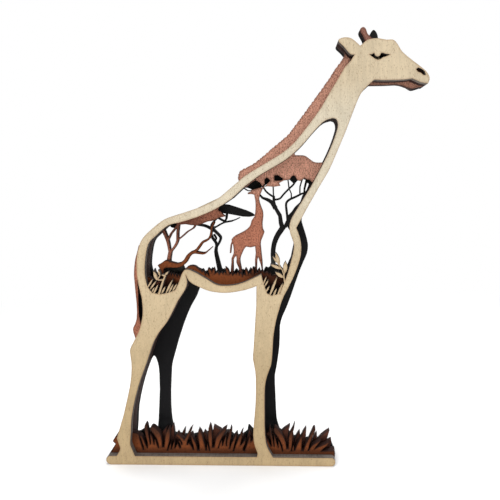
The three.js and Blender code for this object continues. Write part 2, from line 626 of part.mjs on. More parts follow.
function leftCrown() {
  return region(
    [-50, 145],
    [[-45.6, 141.1]],
    [[-44, 141.4], [-41.4, 141.6], [-38, 141], [-34.8, 140.9]],
    [[-31.4, 141.9], [-28.6, 143], [-26.4, 143.2], [-24.6, 143.8]],
    [[-22.8, 145], [-20.8, 145.2], [-18.6, 145.7]],
    [[-20.2, 146.8], [-21.2, 148.3], [-23, 149.4]],
    [[-20, 154]],
    [[-35, 149]],
  );
}

function rightCrown() {
  return region(
    [-11, 162],
    [[-8.2, 161.2]],
    [[-6, 162.2], [-4, 164.1]],
    [[-1.7, 165.5]],
    [[0.8, 164.1]],
    [[1.7, 162.6], [2.5, 162.3], [3.4, 163.3]],
    [[3.4, 166]],
    [[4.4, 166.6], [5.4, 166.4], [6.5, 165]],
    [[4.9, 163.5]],
    [[3.2, 161.6]],
    [[4.9, 161.9], [8.6, 161.6], [12.1, 162.1]],
    [[11.4, 163.6]],
    [[13.2, 164.5], [14.6, 165.3], [16.6, 165.4], [17.2, 165.5]],
    [[18.2, 166.9], [19.4, 167.7], [20.4, 167], [21.4, 165.1]],
    [[22.6, 164.6], [23.6, 164.7], [24.4, 165.5], [25.4, 166]],
    [[27, 165.3], [28.2, 165], [29.8, 163.4]],
    [[33, 162]],
    [[39, 173]],
    [[36, 174.5]],
    [[33, 174.4], [30.6, 174.8], [28.6, 176.2], [26.8, 177.6], [24.8, 178.5], [20.4, 178.7]],
    [[19.8, 180.6]],
    [[17, 182]],
    [[0, 171]],
  );
}

// A gap in the right crown that shows the black sheet.
function crownGap() {
  return region(
    [8.8, 165],
    [[8.7, 167.8]],
    [[10.6, 168], [12.4, 166.8], [14, 165.8]],
    [[12.5, 164.9], [10.8, 164.9], [8.8, 165]],
  );
}

function uprightTree() {
  return [
    limb([[-51.6, 118], [-51.6, 121.6], [-51, 124.6], [-50.5, 127]], 2.3, 1.8),
    limb([[-50.9, 126], [-51.4, 129.6], [-52.2, 133.4], [-54.2, 138.4]], 1.2, 1.8),
    limb([[-51.6, 133], [-50, 136.2], [-47.8, 138.8], [-45.2, 142]], 0.9, 1.1),
    limb([[-50.4, 126], [-48, 129], [-46.3, 132.4], [-46.1, 137], [-45.4, 142]], 1.2, 1.3),
    limb([[-46, 132.8], [-43.2, 135], [-40.4, 137.4], [-37.2, 139.2], [-35.6, 142]], 0.8, 0.9),
  ];
}

function smallGiraffe() {
  return region(
    [3.7, 162.6],
    [[2, 160.2], [0.9, 157.8], [0.1, 155], [0.9, 151.6], [2, 148.6], [2.3, 145.6], [1.8, 141.4],
      [2, 138.3], [2.8, 136.4]],
    [[2, 134.2], [1, 132], [0.6, 129.6], [0.9, 125.6], [1.4, 120.6], [1.7, 112]],
    [[0.7, 112]],
    [[0.9, 115.8], [0.2, 119.4], [-0.9, 122.6]],
    [[-1.5, 120.4], [-1.7, 116.6], [-1.9, 112]],
    [[-3.1, 112]],
    [[-2.7, 116], [-2.7, 121], [-2.2, 125], [-2.5, 128.6]],
    [[-5, 128.1], [-7.6, 128.5]],
    [[-9, 126.6], [-10.4, 123.6], [-11.1, 121], [-10.7, 117.6], [-9.6, 112]],
    [[-11.4, 112]],
    [[-11.9, 116.4], [-13.2, 119.6], [-13, 121.6], [-13.2, 123.4]],
    [[-14.2, 122.3], [-14.9, 120.8], [-14.9, 116.8], [-15, 112]],
    [[-16.7, 112]],
    [[-16.4, 116], [-16, 119.6], [-15.9, 122], [-14.6, 125], [-14.7, 128.6], [-15.2, 131.2]],
    [[-15.6, 132.8], [-13.6, 134.7], [-10, 136.4], [-7, 138.2], [-5, 140.5], [-4.2, 143.1],
      [-2.5, 145.6], [-1.9, 149.6], [-1.9, 153.8], [-2.5, 157.4]],
    [[-4, 157.8], [-6.1, 157.8]],
    [[-6, 158.6]],
    [[-4.6, 159.2], [-3.6, 160.2], [-1.6, 160.6], [0.4, 161.2], [2, 161.4]],
  );
}

function copperGround() {
  return region(
    [-67, 100], [[-66, 109]], [[-45, 109]], [[-41, 112.6]], [[-30, 111.4]], [[3, 112.6]],
    [[12, 110]], [[15.5, 110]], [[9, 95]], [[0, 100]], [[-2, 108]], [[-20, 104.4]], [[-40, 110]],
    [[-44, 107]], [[-50, 100]],
  );
}

function copperSheet() {
  const art = [
    copperGround(), mane(2.2, 0.4, -0.1), lowerJaw(0), nearHorn(), tail(), leftCrown(),
    smallGiraffe(), limb([[-15, 132], [-16, 129.4], [-16.5, 125]], 0.8, 0.6), ...uprightTree(),
    grass(6, COPPER_GRASS_HIND), grass(6, COPPER_GRASS_TOE),
  ];
  const crown = scenery(COPPER, rightCrown()).subtract(scenery(COPPER, crownGap()));
  return join(
    giraffeFrame(COPPER).subtract(cut(COPPER, eye())),
    crown,
    cut(COPPER, heelTuft()),
    ...art.map((shape) => scenery(COPPER, shape)),
  );
}

// ---------------------------------------------------------------------------------------------
// Sheet 4: black, with the far legs, the chest, the far horn, two more trees and dark ground.

// Foreleg and chest on the far side, standing out in front of the near ones.
function farForeleg() {
  return region(
    [24, 146],
    [[23.6, 143], [24.2, 140.3], [25.7, 135.4], [27, 129.4], [26.4, 124.4], [24.5, 120],
      [22.1, 114.4], [19.8, 107.9], [17, 99.9], [14.7, 93.9], [12.3, 88.7], [10.9, 83.4],
      [10.7, 77.4], [10.4, 71.4], [9.6, 65.4], [8.6, 59.4], [7.6, 54.6], [7.5, 48], [7.7, 40],
      [8, 31], [8.6, 25.4], [10.4, 20]],
    [[12, 10]],
    [[0, 10]],
    [[-1, 50]],
    [[3, 80]],
    [[12.4, 104]],
    [[13.7, 110.6], [14, 113.5], [15.5, 118], [17.4, 122.2], [18.3, 126.4], [19.4, 131]],
    [[18.4, 138]],
  );
}

function farHindLeg() {
  return region(
    [-33, 109],
    [[-34.4, 105.6], [-36.6, 100.2], [-40, 94.4], [-42.2, 89.8], [-44.6, 83.8], [-47.7, 75],
      [-50.7, 65], [-52.2, 59.6], [-52.8, 53], [-53.4, 44], [-53.6, 35], [-53.2, 27],
      [-52, 19]],
    [[-52, 10]],
    [[-62, 10]],
    [[-61.3, 22], [-60.6, 28], [-59.9, 37], [-59.3, 46], [-59.2, 55], [-59.6, 60.4],
      [-60.4, 63.6], [-61.3, 65.6], [-62.4, 65.9], [-63.2, 64.4]],
    [[-68, 62]],
    [[-66, 84]],
    [[-56, 106]],
    [[-44, 113]],
  );
}

// Black ground and grass behind the foot.
function darkBed() {
  return region(
    [-76, 8],
    [[-76, 19]],
    [[-72.4, 19.4], [-70.6, 20.6], [-68, 21.2], [-65, 20.8], [-61, 21.6]],
    [[-56, 19]],
    [[-52.2, 19.2], [-50.4, 18], [-48, 18.2], [-46, 17.6], [-44, 17.8], [-40.6, 17.6],
      [-38.6, 18.2], [-36, 18.2], [-33, 19], [-29.4, 20]],
    [[-25.6, 20.4], [-22.6, 20], [-19.4, 20.2], [-17, 17.8], [-14.4, 17.3], [-12, 17.8],
      [-10, 19.2], [-8.9, 20.1]],
    [[-8.7, 21.8], [-8.4, 23.3], [-7.6, 23.4], [-6.5, 22], [-4.6, 20]],
    [[2, 20]],
    [[9.6, 21.2], [11.2, 19.8], [13.2, 18.6], [14.8, 20], [16.6, 18.4], [18.4, 16.9],
      [20, 17.4], [22.2, 17]],
    [[24.4, 15.6], [26.6, 16.2], [29, 16], [31.4, 16.3], [33.4, 15.2], [36.4, 14.7]],
    [[39.4, 14.2], [40.4, 11.8], [41.4, 9.4], [41.8, 7.6]],
    [[38, 7.6]],
  );
}

// Black behind the gap between the tail and the thigh.
function tailBacking() {
  return region(
    [-62, 124],
    [[-68.6, 121]],
    [[-70.2, 112], [-70.4, 100], [-70.3, 92], [-69.9, 87.4], [-68.6, 84.2]],
    [[-62, 84]],
  );
}

function farHorn() {
  return region(
    [60.6, 236.6],
    [[60.7, 240.8], [61.5, 242.9], [62.7, 243.8], [63.9, 242.8], [64.8, 240.8], [65.4, 237]],
  );
}

function darkGround() {
  return region(
    [-67, 100],
    [[-67, 121]],
    [[-62.2, 119.6]],
    [[-61.5, 115.6], [-60.6, 113.8]],
    [[-60, 116.6]],
    [[-59.2, 113.8], [-57.2, 112.2], [-55, 113.6]],
    [[-54.6, 116.6], [-51.6, 118], [-48, 118.2], [-45.2, 119], [-43.8, 118.4], [-42.6, 115.6]],
    [[-38, 115], [-32, 113.6]],
    [[3, 113.8]],
    [[3.2, 116.8]],
    [[4.8, 116.2], [5.8, 117.4], [6.3, 119.6]],
    [[8.8, 118.2], [12, 116.6], [14.4, 113.6]],
    [[17.4, 113]],
    [[9, 95]],
    [[0, 100]],
    [[-2, 108]],
    [[-20, 104.4]],
    [[-40, 110]],
    [[-44, 107]],
    [[-50, 100]],
  );
}

const DARK_BELLY_GRASS = [
  [-34.9, 113.8], [-34.7, 116.4, 0, 0.5], [-33.6, 115.2], [-32.5, 116.2, 0, 0.4],
  [-31.2, 114.2], [-30.6, 115, 0, 0.3], [-30.2, 113.6], [-29.2, 116.7, 0.3, 0.6],
  [-28.2, 115.2], [-27.1, 116.7, 0, 0.4], [-26.6, 115.4], [-26, 117, 0, 0.4], [-25.2, 114],
  [-24.2, 115.6, 0, 0.4], [-23.2, 115.2], [-21.4, 115.9, 0, 0.3], [-20.9, 115.2],
  [-20.4, 116, 0, 0.3], [-19.4, 115.4], [-18.4, 116.4, 0, 0.5], [-17.3, 113.8],
  [-16.2, 114.3, 0, 0.2], [-14.8, 113.8], [-13.5, 116, 0, 0.6], [-12.2, 114],
  [-11.2, 116.7, 0, 0.5], [-10.3, 115], [-9.6, 115.6, 0, 0.3], [-9, 114.4],
  [-8.1, 116.6, 0.2, 0.5], [-6.7, 113.8], [-5.4, 116.4, 0, 0.4], [-4.6, 115.2],
  [-3.6, 117, 0, 0.5], [-2.8, 115.8], [-2.3, 117.5, 0, 0.4], [-1.6, 114.6],
  [-0.4, 116.2, 0, 0.4], [0.3, 114], [1.2, 115.4, 0, 0.4], [2, 114.2], [3.1, 116.6, 0, 0.5],
  [4.2, 114],
];

function darkCrown() {
  return region(
    [-27, 149],
    [[-24.2, 149.2]],
    [[-22.6, 148.2], [-20, 147.4], [-17, 147], [-13, 146.2], [-9, 145.4], [-5.4, 145.2],
      [-2.9, 145.6]],
    [[-2.5, 146], [-4, 147.3], [-7, 148.7], [-10.4, 149.9], [-13.6, 151], [-17, 152.1],
      [-19.8, 152.4]],
    [[-19, 156]],
  );
}

function middleTree() {
  return [
    limb([[-22.2, 110], [-22.9, 116], [-24, 121.4], [-24.8, 126], [-24.2, 129.4]], 2.8, 1.3),
    limb([[-24.4, 128.4], [-24.6, 130.8], [-26.4, 133.4], [-27.2, 135.4], [-26.8, 138]], 1.2, 1),
    limb([[-24.2, 128.6], [-22.7, 131], [-21.9, 133.8], [-24, 136.4], [-25.9, 138.4]], 1.2, 1.3),
    limb([[-25.2, 131.6], [-24.4, 133.4], [-25.8, 135.6]], 0.7),
    limb([[-25.2, 137.4], [-28, 139.3], [-31, 140.6], [-35.4, 141.4]], 1.4, 1.2),
    limb([[-26.6, 138.4], [-26.9, 141], [-25, 143.4], [-22.9, 145.4], [-21.4, 148.8]], 1, 0.9),
    limb([[-27, 139.2], [-24.6, 139.6], [-22, 141.1], [-19, 142.4], [-15, 143]], 1.1, 0.8),
    limb([[-15.8, 142.9], [-13.4, 143.6], [-10.8, 144.8]], 0.7, 0.5),
    limb([[-23, 144.8], [-20.6, 143.4], [-19, 142.6]], 0.9),
    limb([[-19.8, 142.2], [-18.4, 144.4], [-18, 148.2]], 0.9, 1.1),
  ];
}

function rightTree() {
  return [
    limb([[7.6, 110], [7.6, 117], [7.4, 124], [8.2, 130], [10.4, 135], [13.6, 139.6]], 2.4, 3),
    limb([[13.2, 137.8], [12.1, 141.4], [11.6, 145.6], [9.4, 149.4], [8.3, 153], [8.3, 156.6]],
      2.7, 1.3),
    limb([[9.2, 149.6], [7.2, 152.9], [4.4, 154.7], [2, 155.6], [0.1, 158]], 2.6, 0.7),
    limb([[8.5, 155.8], [6, 157.4], [3.8, 159.4], [2, 162.4]], 1, 0.8),
    limb([[8.2, 155.4], [8.1, 158.8], [8, 163]], 0.7),
    limb([[8.4, 154.4], [11.6, 155], [14, 157.6], [17, 160.6], [19.4, 162.8], [20.4, 165.6]],
      1, 1),
    limb([[14.6, 139], [15.8, 142.8], [15.4, 147.6], [15.2, 152.4], [17.6, 154.7], [20.6, 155.9],
      [23.6, 157.4], [27.4, 158.6]], 1.5, 0.9),
    limb([[18, 154.6], [18, 157.8], [16.8, 160.6], [16.2, 166.4]], 0.7, 0.7),
    limb([[22.9, 156.6], [22.9, 161.4], [24.6, 166.4]], 0.7),
    limb([[25.2, 157.6], [25.4, 160.4], [26.7, 165.4]], 0.8, 1.2),
  ];
}

// The thick right-hand limb that runs up inside the chest and throat.
function chestLimb() {
  return region(
    [13.2, 139],
    [[15.4, 143.4], [16.4, 145.8], [18.2, 147.6], [20, 150.2], [22.9, 152.8], [24.2, 156.4],
      [26.6, 159.6], [28, 163.4]],
    [[33, 163]],
    [[19.6, 137]],
    [[17, 137.2]],
    [[15.5, 139.6]],
  );
}

function darkCanopy() {
  return region(
    [-12, 163],
    [[-8, 161.4]],
    [[-6.2, 161.3], [-4.8, 160.8]],
    [[-2.9, 159.7]],
    [[-0.6, 160.5], [1.1, 161.3], [2.4, 161.8]],
    [[4.6, 163.2], [7.6, 164.6]],
    [[10, 164.6], [14.6, 165], [17.2, 165.3]],
    [[18, 164.5]],
    [[19.9, 162.7]],
    [[21.4, 164.6], [24.4, 165.6]],
    [[26.4, 165]],
    [[27, 163.4], [28.6, 162.4]],
    [[33, 163]],
    [[34, 171]],
    [[18, 176]],
    [[0, 170]],
  );
}

// A patch of the black crown at the top of the rump.
function rumpPatch() {
  return region(
    [-52, 144], [[-50.4, 141.2]], [[-49.6, 140], [-48, 139.6], [-46.2, 139.7]], [[-44, 146]],
  );
}

function blackSheet() {
  const art = [
    farForeleg(), farHindLeg(), darkBed(), tailBacking(), farHorn(), lowerJaw(0.7),
    mane(3.1, 0.55, -0.25), darkGround(), grass(111, DARK_BELLY_GRASS), darkCrown(),
    ...middleTree(), ...rightTree(), chestLimb(), darkCanopy(), rumpPatch(),
    limb([[-9, 161.8], [-7.2, 160.4], [-5.4, 159.6], [-3.2, 160]], 0.6, 0.5),
  ];
  return join(
    giraffeFrame(BLACK),
    plate(nearHorn(), sheetFront(BLACK), SHEET, 1 + GROWTH * COPPER),
    cut(BLACK, heelTuft()),
    ...art.map((shape) => scenery(BLACK, shape)),
  );
}

// ---------------------------------------------------------------------------------------------
// The glue: one connected film between each two sheets, on the frame that they share.

// Each bead of glue: the line it runs along, and its width at the start and at the end.
const GLUE_BEADS = [
  [[[-88, 2.7], [-40, 2.7], [38, 2.7]], 3, 3],
  [[[-81, 3], [-81, 14], [-80, 26], [-72, 58], [-62, 92], [-60, 99]], 3, 5],
  [[[-60, 97], [-66.4, 104], [-67.5, 120], [-63.8, 132], [-55.6, 140.6], [-44, 145],
    [-18, 156.6], [-6, 166.2], [18, 181.6], [36, 202], [50, 222]], 2.6, 2.6],
  [[[46, 214], [54, 224], [64, 229], [76, 225], [88, 219.4]], 4, 3],
  [[[52, 220], [45.6, 193], [32, 163.4], [19, 139.6], [21, 129], [19.6, 119], [16.7, 110.4]],
    2.6, 1.6],
  [[[6, 97], [3, 90], [-0.8, 54], [-1, 36], [-2, 16], [0.6, 3]], 3.4, 3],
  [[[-54, 95], [-46.8, 103], [-44.2, 108.8], [-43.1, 112.6], [-41.3, 114.1], [-38.4, 111.9],
    [-33, 108.4], [-27.5, 105.6], [-21, 104.3], [-14.5, 104.7], [-8, 106.4], [-2.4, 108.6],
    [2, 104.6], [5, 95]], 1.2, 1.2],
];

function glueFilm(gapIndex) {
  const y = sheetFront(gapIndex) + SHEET + CLEAR;
  const beads = GLUE_BEADS.map((bead) => plate(limb(...bead, GLUE_TOLERANCE), y, GLUE));
  return join(...beads);
}

// ---------------------------------------------------------------------------------------------
// Assembly, front to back.

const statue = new THREE.Group();
[frontSheet, brownSheet, copperSheet, blackSheet].forEach((make, sheet) => {
  statue.add(meshOf(make(), FINISHES[sheet]));
});
["front", "middle", "back"].forEach((place, gapIndex) => {
  statue.add(meshOf(glueFilm(gapIndex), { name: `${place}_glue_film`, ...GLUE_FINISH }));
});

export default statue;
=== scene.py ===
"""The looks of a giraffe figure made of four laser-cut plywood sheets.

Each sheet's CAD node gives its outline. The visible sheet is worked out from it: the two veneered
faces, a softened arris and the laser-cut wall, with how far each point of a face is from the
nearest cut, which the scorched tint follows. Lengths are metres, X along the giraffe, Z up, and
the birch face looks towards -Y.
"""

from __future__ import annotations

import json
import logging
from dataclasses import dataclass, field
from enum import Enum
from math import radians

import bpy
import numpy as np
from mathutils import Matrix, Vector, geometry

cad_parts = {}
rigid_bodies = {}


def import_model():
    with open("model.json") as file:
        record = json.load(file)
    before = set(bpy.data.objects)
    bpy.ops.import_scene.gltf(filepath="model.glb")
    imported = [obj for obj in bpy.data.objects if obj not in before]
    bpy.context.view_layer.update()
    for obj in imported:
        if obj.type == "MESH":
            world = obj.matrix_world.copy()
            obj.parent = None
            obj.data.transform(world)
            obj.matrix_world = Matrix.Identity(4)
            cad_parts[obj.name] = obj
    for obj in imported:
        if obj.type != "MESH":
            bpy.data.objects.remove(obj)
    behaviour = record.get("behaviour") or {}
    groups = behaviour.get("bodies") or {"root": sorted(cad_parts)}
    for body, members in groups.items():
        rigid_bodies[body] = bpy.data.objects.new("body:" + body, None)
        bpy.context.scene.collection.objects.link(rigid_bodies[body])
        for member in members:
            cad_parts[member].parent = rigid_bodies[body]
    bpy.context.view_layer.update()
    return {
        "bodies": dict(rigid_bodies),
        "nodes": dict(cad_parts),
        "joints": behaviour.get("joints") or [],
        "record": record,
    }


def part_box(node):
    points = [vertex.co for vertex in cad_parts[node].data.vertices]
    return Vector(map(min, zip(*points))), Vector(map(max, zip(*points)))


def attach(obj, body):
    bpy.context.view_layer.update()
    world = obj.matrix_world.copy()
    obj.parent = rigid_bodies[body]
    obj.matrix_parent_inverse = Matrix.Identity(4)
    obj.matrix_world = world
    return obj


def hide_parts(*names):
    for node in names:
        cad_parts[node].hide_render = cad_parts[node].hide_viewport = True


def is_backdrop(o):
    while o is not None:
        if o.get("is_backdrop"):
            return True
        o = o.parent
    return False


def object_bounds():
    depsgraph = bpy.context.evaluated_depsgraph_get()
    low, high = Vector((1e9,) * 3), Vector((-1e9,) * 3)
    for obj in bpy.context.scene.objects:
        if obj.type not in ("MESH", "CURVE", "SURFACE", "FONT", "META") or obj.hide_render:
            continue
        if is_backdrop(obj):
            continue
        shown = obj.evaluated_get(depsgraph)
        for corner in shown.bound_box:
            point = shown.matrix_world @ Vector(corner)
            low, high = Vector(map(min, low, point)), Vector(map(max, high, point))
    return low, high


MM = 0.001
BODY = "root"
RIM = "rim"  # the attribute that holds the distance to the nearest cut
FACE_DEPTH = 0.02 * MM  # how far off the front plane a corner of the front face may lie
WELD = 0.002 * MM  # corners of the front face closer than this are one
BATCH = 500  # how many spots are measured against an outline at a time
TINY = 1e-12  # stands for the rise of a level edge
PLIES = 5  # in one sheet
SPECKLE = (1500, 300, 1000)  # specks to a metre along X, Y and Z

log = logging.getLogger("giraffe")

Colour = tuple[float, float, float]


def paint(red: float, green: float, blue: float) -> Colour:
    """A colour given on the 0 to 255 scale, as scene-linear values.

    Args:
        red: Red, 0 to 255.
        green: Green, 0 to 255.
        blue: Blue, 0 to 255.

    Returns:
        The three linear values.
    """
    share = np.array([red, green, blue]) / 255
    linear = np.where(share <= 0.04045, share / 12.92, ((share + 0.055) / 1.055) ** 2.4)
    return tuple(float(value) for value in linear)


# --------------------------------------------------------------------------------------------
# Outlines


@dataclass(frozen=True)
class Outline:
    """The cut edge of one sheet, as points joined by directed edges with the wood on their left.

    Attributes:
        points: The corners, one [x, z] row each, in metres.
        edges: Pairs of point numbers.
    """

    points: np.ndarray
    edges: np.ndarray

    @classmethod
    def of_node(cls, node: bpy.types.Object, longest: float) -> "Outline":
        """Reads the outline off the front face of a CAD node.

        An edge of the face's triangles belongs to the outline when no other triangle uses it the
        other way round. Then each edge is cut into equal pieces no longer than asked for.

        Args:
            node: The CAD node of a flat sheet.
            longest: The longest piece, in metres.

        Returns:
            The outline.
        """
        mesh = node.data
        mesh.calc_loop_triangles()
        corners = np.empty(len(mesh.loop_triangles) * 3, dtype=np.int64)
        mesh.loop_triangles.foreach_get("vertices", corners)
        places = np.empty(len(mesh.vertices) * 3)
        mesh.vertices.foreach_get("co", places)
        places = places.reshape(-1, 3)
        front = places[:, 1].min()
        near = np.abs(places[:, 1] - front) < FACE_DEPTH
        triangles = corners.reshape(-1, 3)
        triangles = triangles[near[triangles].all(axis=1)]
        grid = np.round(places[:, [0, 2]] / WELD).astype(np.int64)
        _, first, same = np.unique(grid, axis=0, return_index=True, return_inverse=True)
        flat = places[first][:, [0, 2]]
        triangles = same.reshape(-1)[triangles]
        sides = np.concatenate([triangles[:, [0, 1]], triangles[:, [1, 2]], triangles[:, [2, 0]]])
        count = len(flat)
        code = sides[:, 0] * count + sides[:, 1]
        back = sides[:, 1] * count + sides[:, 0]
        rim = sides[~np.isin(code, back) & (sides[:, 0] != sides[:, 1])]
        return cls(flat, rim).divided(longest)

    def divided(self, longest: float) -> "Outline":
        """The same outline with each long edge cut into equal pieces.

        Piece k of n starts at the edge's start plus k / n of the edge.

        Args:
            longest: The longest piece, in metres.

        Returns:
            The new outline, whose point i starts edge i.
        """
        start, end = self.points[self.edges[:, 0]], self.points[self.edges[:, 1]]
        pieces = np.ceil(np.linalg.norm(end - start, axis=1) / longest).astype(int)
        pieces = np.maximum(pieces, 1)
        owner = np.repeat(np.arange(len(pieces)), pieces)
        first = np.cumsum(pieces) - pieces
        share = (np.arange(len(owner)) - first[owner]) / pieces[owner]
        points = start[owner] + (end - start)[owner] * share[:, None]
        heads = np.full(len(self.points), -1)
        heads[self.edges[:, 0]] = first
        following = np.arange(len(owner)) + 1
        last = first + pieces - 1
        following[last] = heads[self.edges[:, 1]]
        return Outline(points, np.stack([np.arange(len(owner)), following], axis=1))

    def inward(self, limit: float) -> np.ndarray:
        """The way into the wood at each point, long enough to move both edges in by one.

        It is the sum of the two edges' left-hand normals over one plus their dot product, which
        is taken as at least 0.05 so that a needle's tip has a way too.

        Args:
            limit: The greatest length, which keeps sharp tips from reaching too far.

        Returns:
            One [x, z] row for each point.
        """
        along = self.points[self.edges[:, 1]] - self.points[self.edges[:, 0]]
        along /= np.linalg.norm(along, axis=1, keepdims=True)
        left = np.stack([-along[:, 1], along[:, 0]], axis=1)
        before = np.zeros_like(self.points)
        after = np.zeros_like(self.points)
        after[self.edges[:, 0]] = left
        before[self.edges[:, 1]] = left
        way = (before + after) / np.maximum(1 + (before * after).sum(axis=1), 0.05)[:, None]
        length = np.linalg.norm(way, axis=1, keepdims=True)
        return way * np.minimum(1, limit / np.maximum(length, 1e-9))

    def room(self) -> np.ndarray:
        """The length of the shorter edge at each point."""
        along = self.points[self.edges[:, 1]] - self.points[self.edges[:, 0]]
        length = np.linalg.norm(along, axis=1)
        room = np.full(len(self.points), np.inf)
        np.minimum.at(room, self.edges[:, 0], length)
        np.minimum.at(room, self.edges[:, 1], length)
        return room

    def distance(self, spots: np.ndarray) -> np.ndarray:
        """How far each spot is from the outline: the least distance to any of its edges.

        Args:
            spots: One [x, z] row each.

        Returns:
            One distance each, in metres.
        """
        start = self.points[self.edges[:, 0]]
        along = self.points[self.edges[:, 1]] - start
        square = (along**2).sum(axis=1)
        answer = np.empty(len(spots))
        for part in np.array_split(np.arange(len(spots)), len(spots) // BATCH + 1):
            reach = spots[part, None, :] - start[None]
            share = np.clip((reach * along).sum(axis=2) / square, 0, 1)
            gap = reach - share[..., None] * along
            answer[part] = np.sqrt((gap**2).sum(axis=2).min(axis=1))
        return answer

    def holds(self, spots: np.ndarray) -> np.ndarray:
        """Whether each spot is in the wood: a level line from it crosses the outline an odd
        number of times.

        Args:
            spots: One [x, z] row each.

        Returns:
            One truth value each.
        """
        start, end = self.points[self.edges[:, 0]], self.points[self.edges[:, 1]]
        rise = end[:, 1] - start[:, 1]
        rise = np.where(rise == 0, TINY, rise)
        answer = np.empty(len(spots), dtype=bool)
        for part in np.array_split(np.arange(len(spots)), len(spots) // BATCH + 1):
            x, z = spots[part, 0, None], spots[part, 1, None]
            spans = (start[:, 1] > z) != (end[:, 1] > z)
            crossing = start[:, 0] + (z - start[:, 1]) * (end[:, 0] - start[:, 0]) / rise
            answer[part] = (spans & (x < crossing)).sum(axis=1) % 2 == 1
        return answer


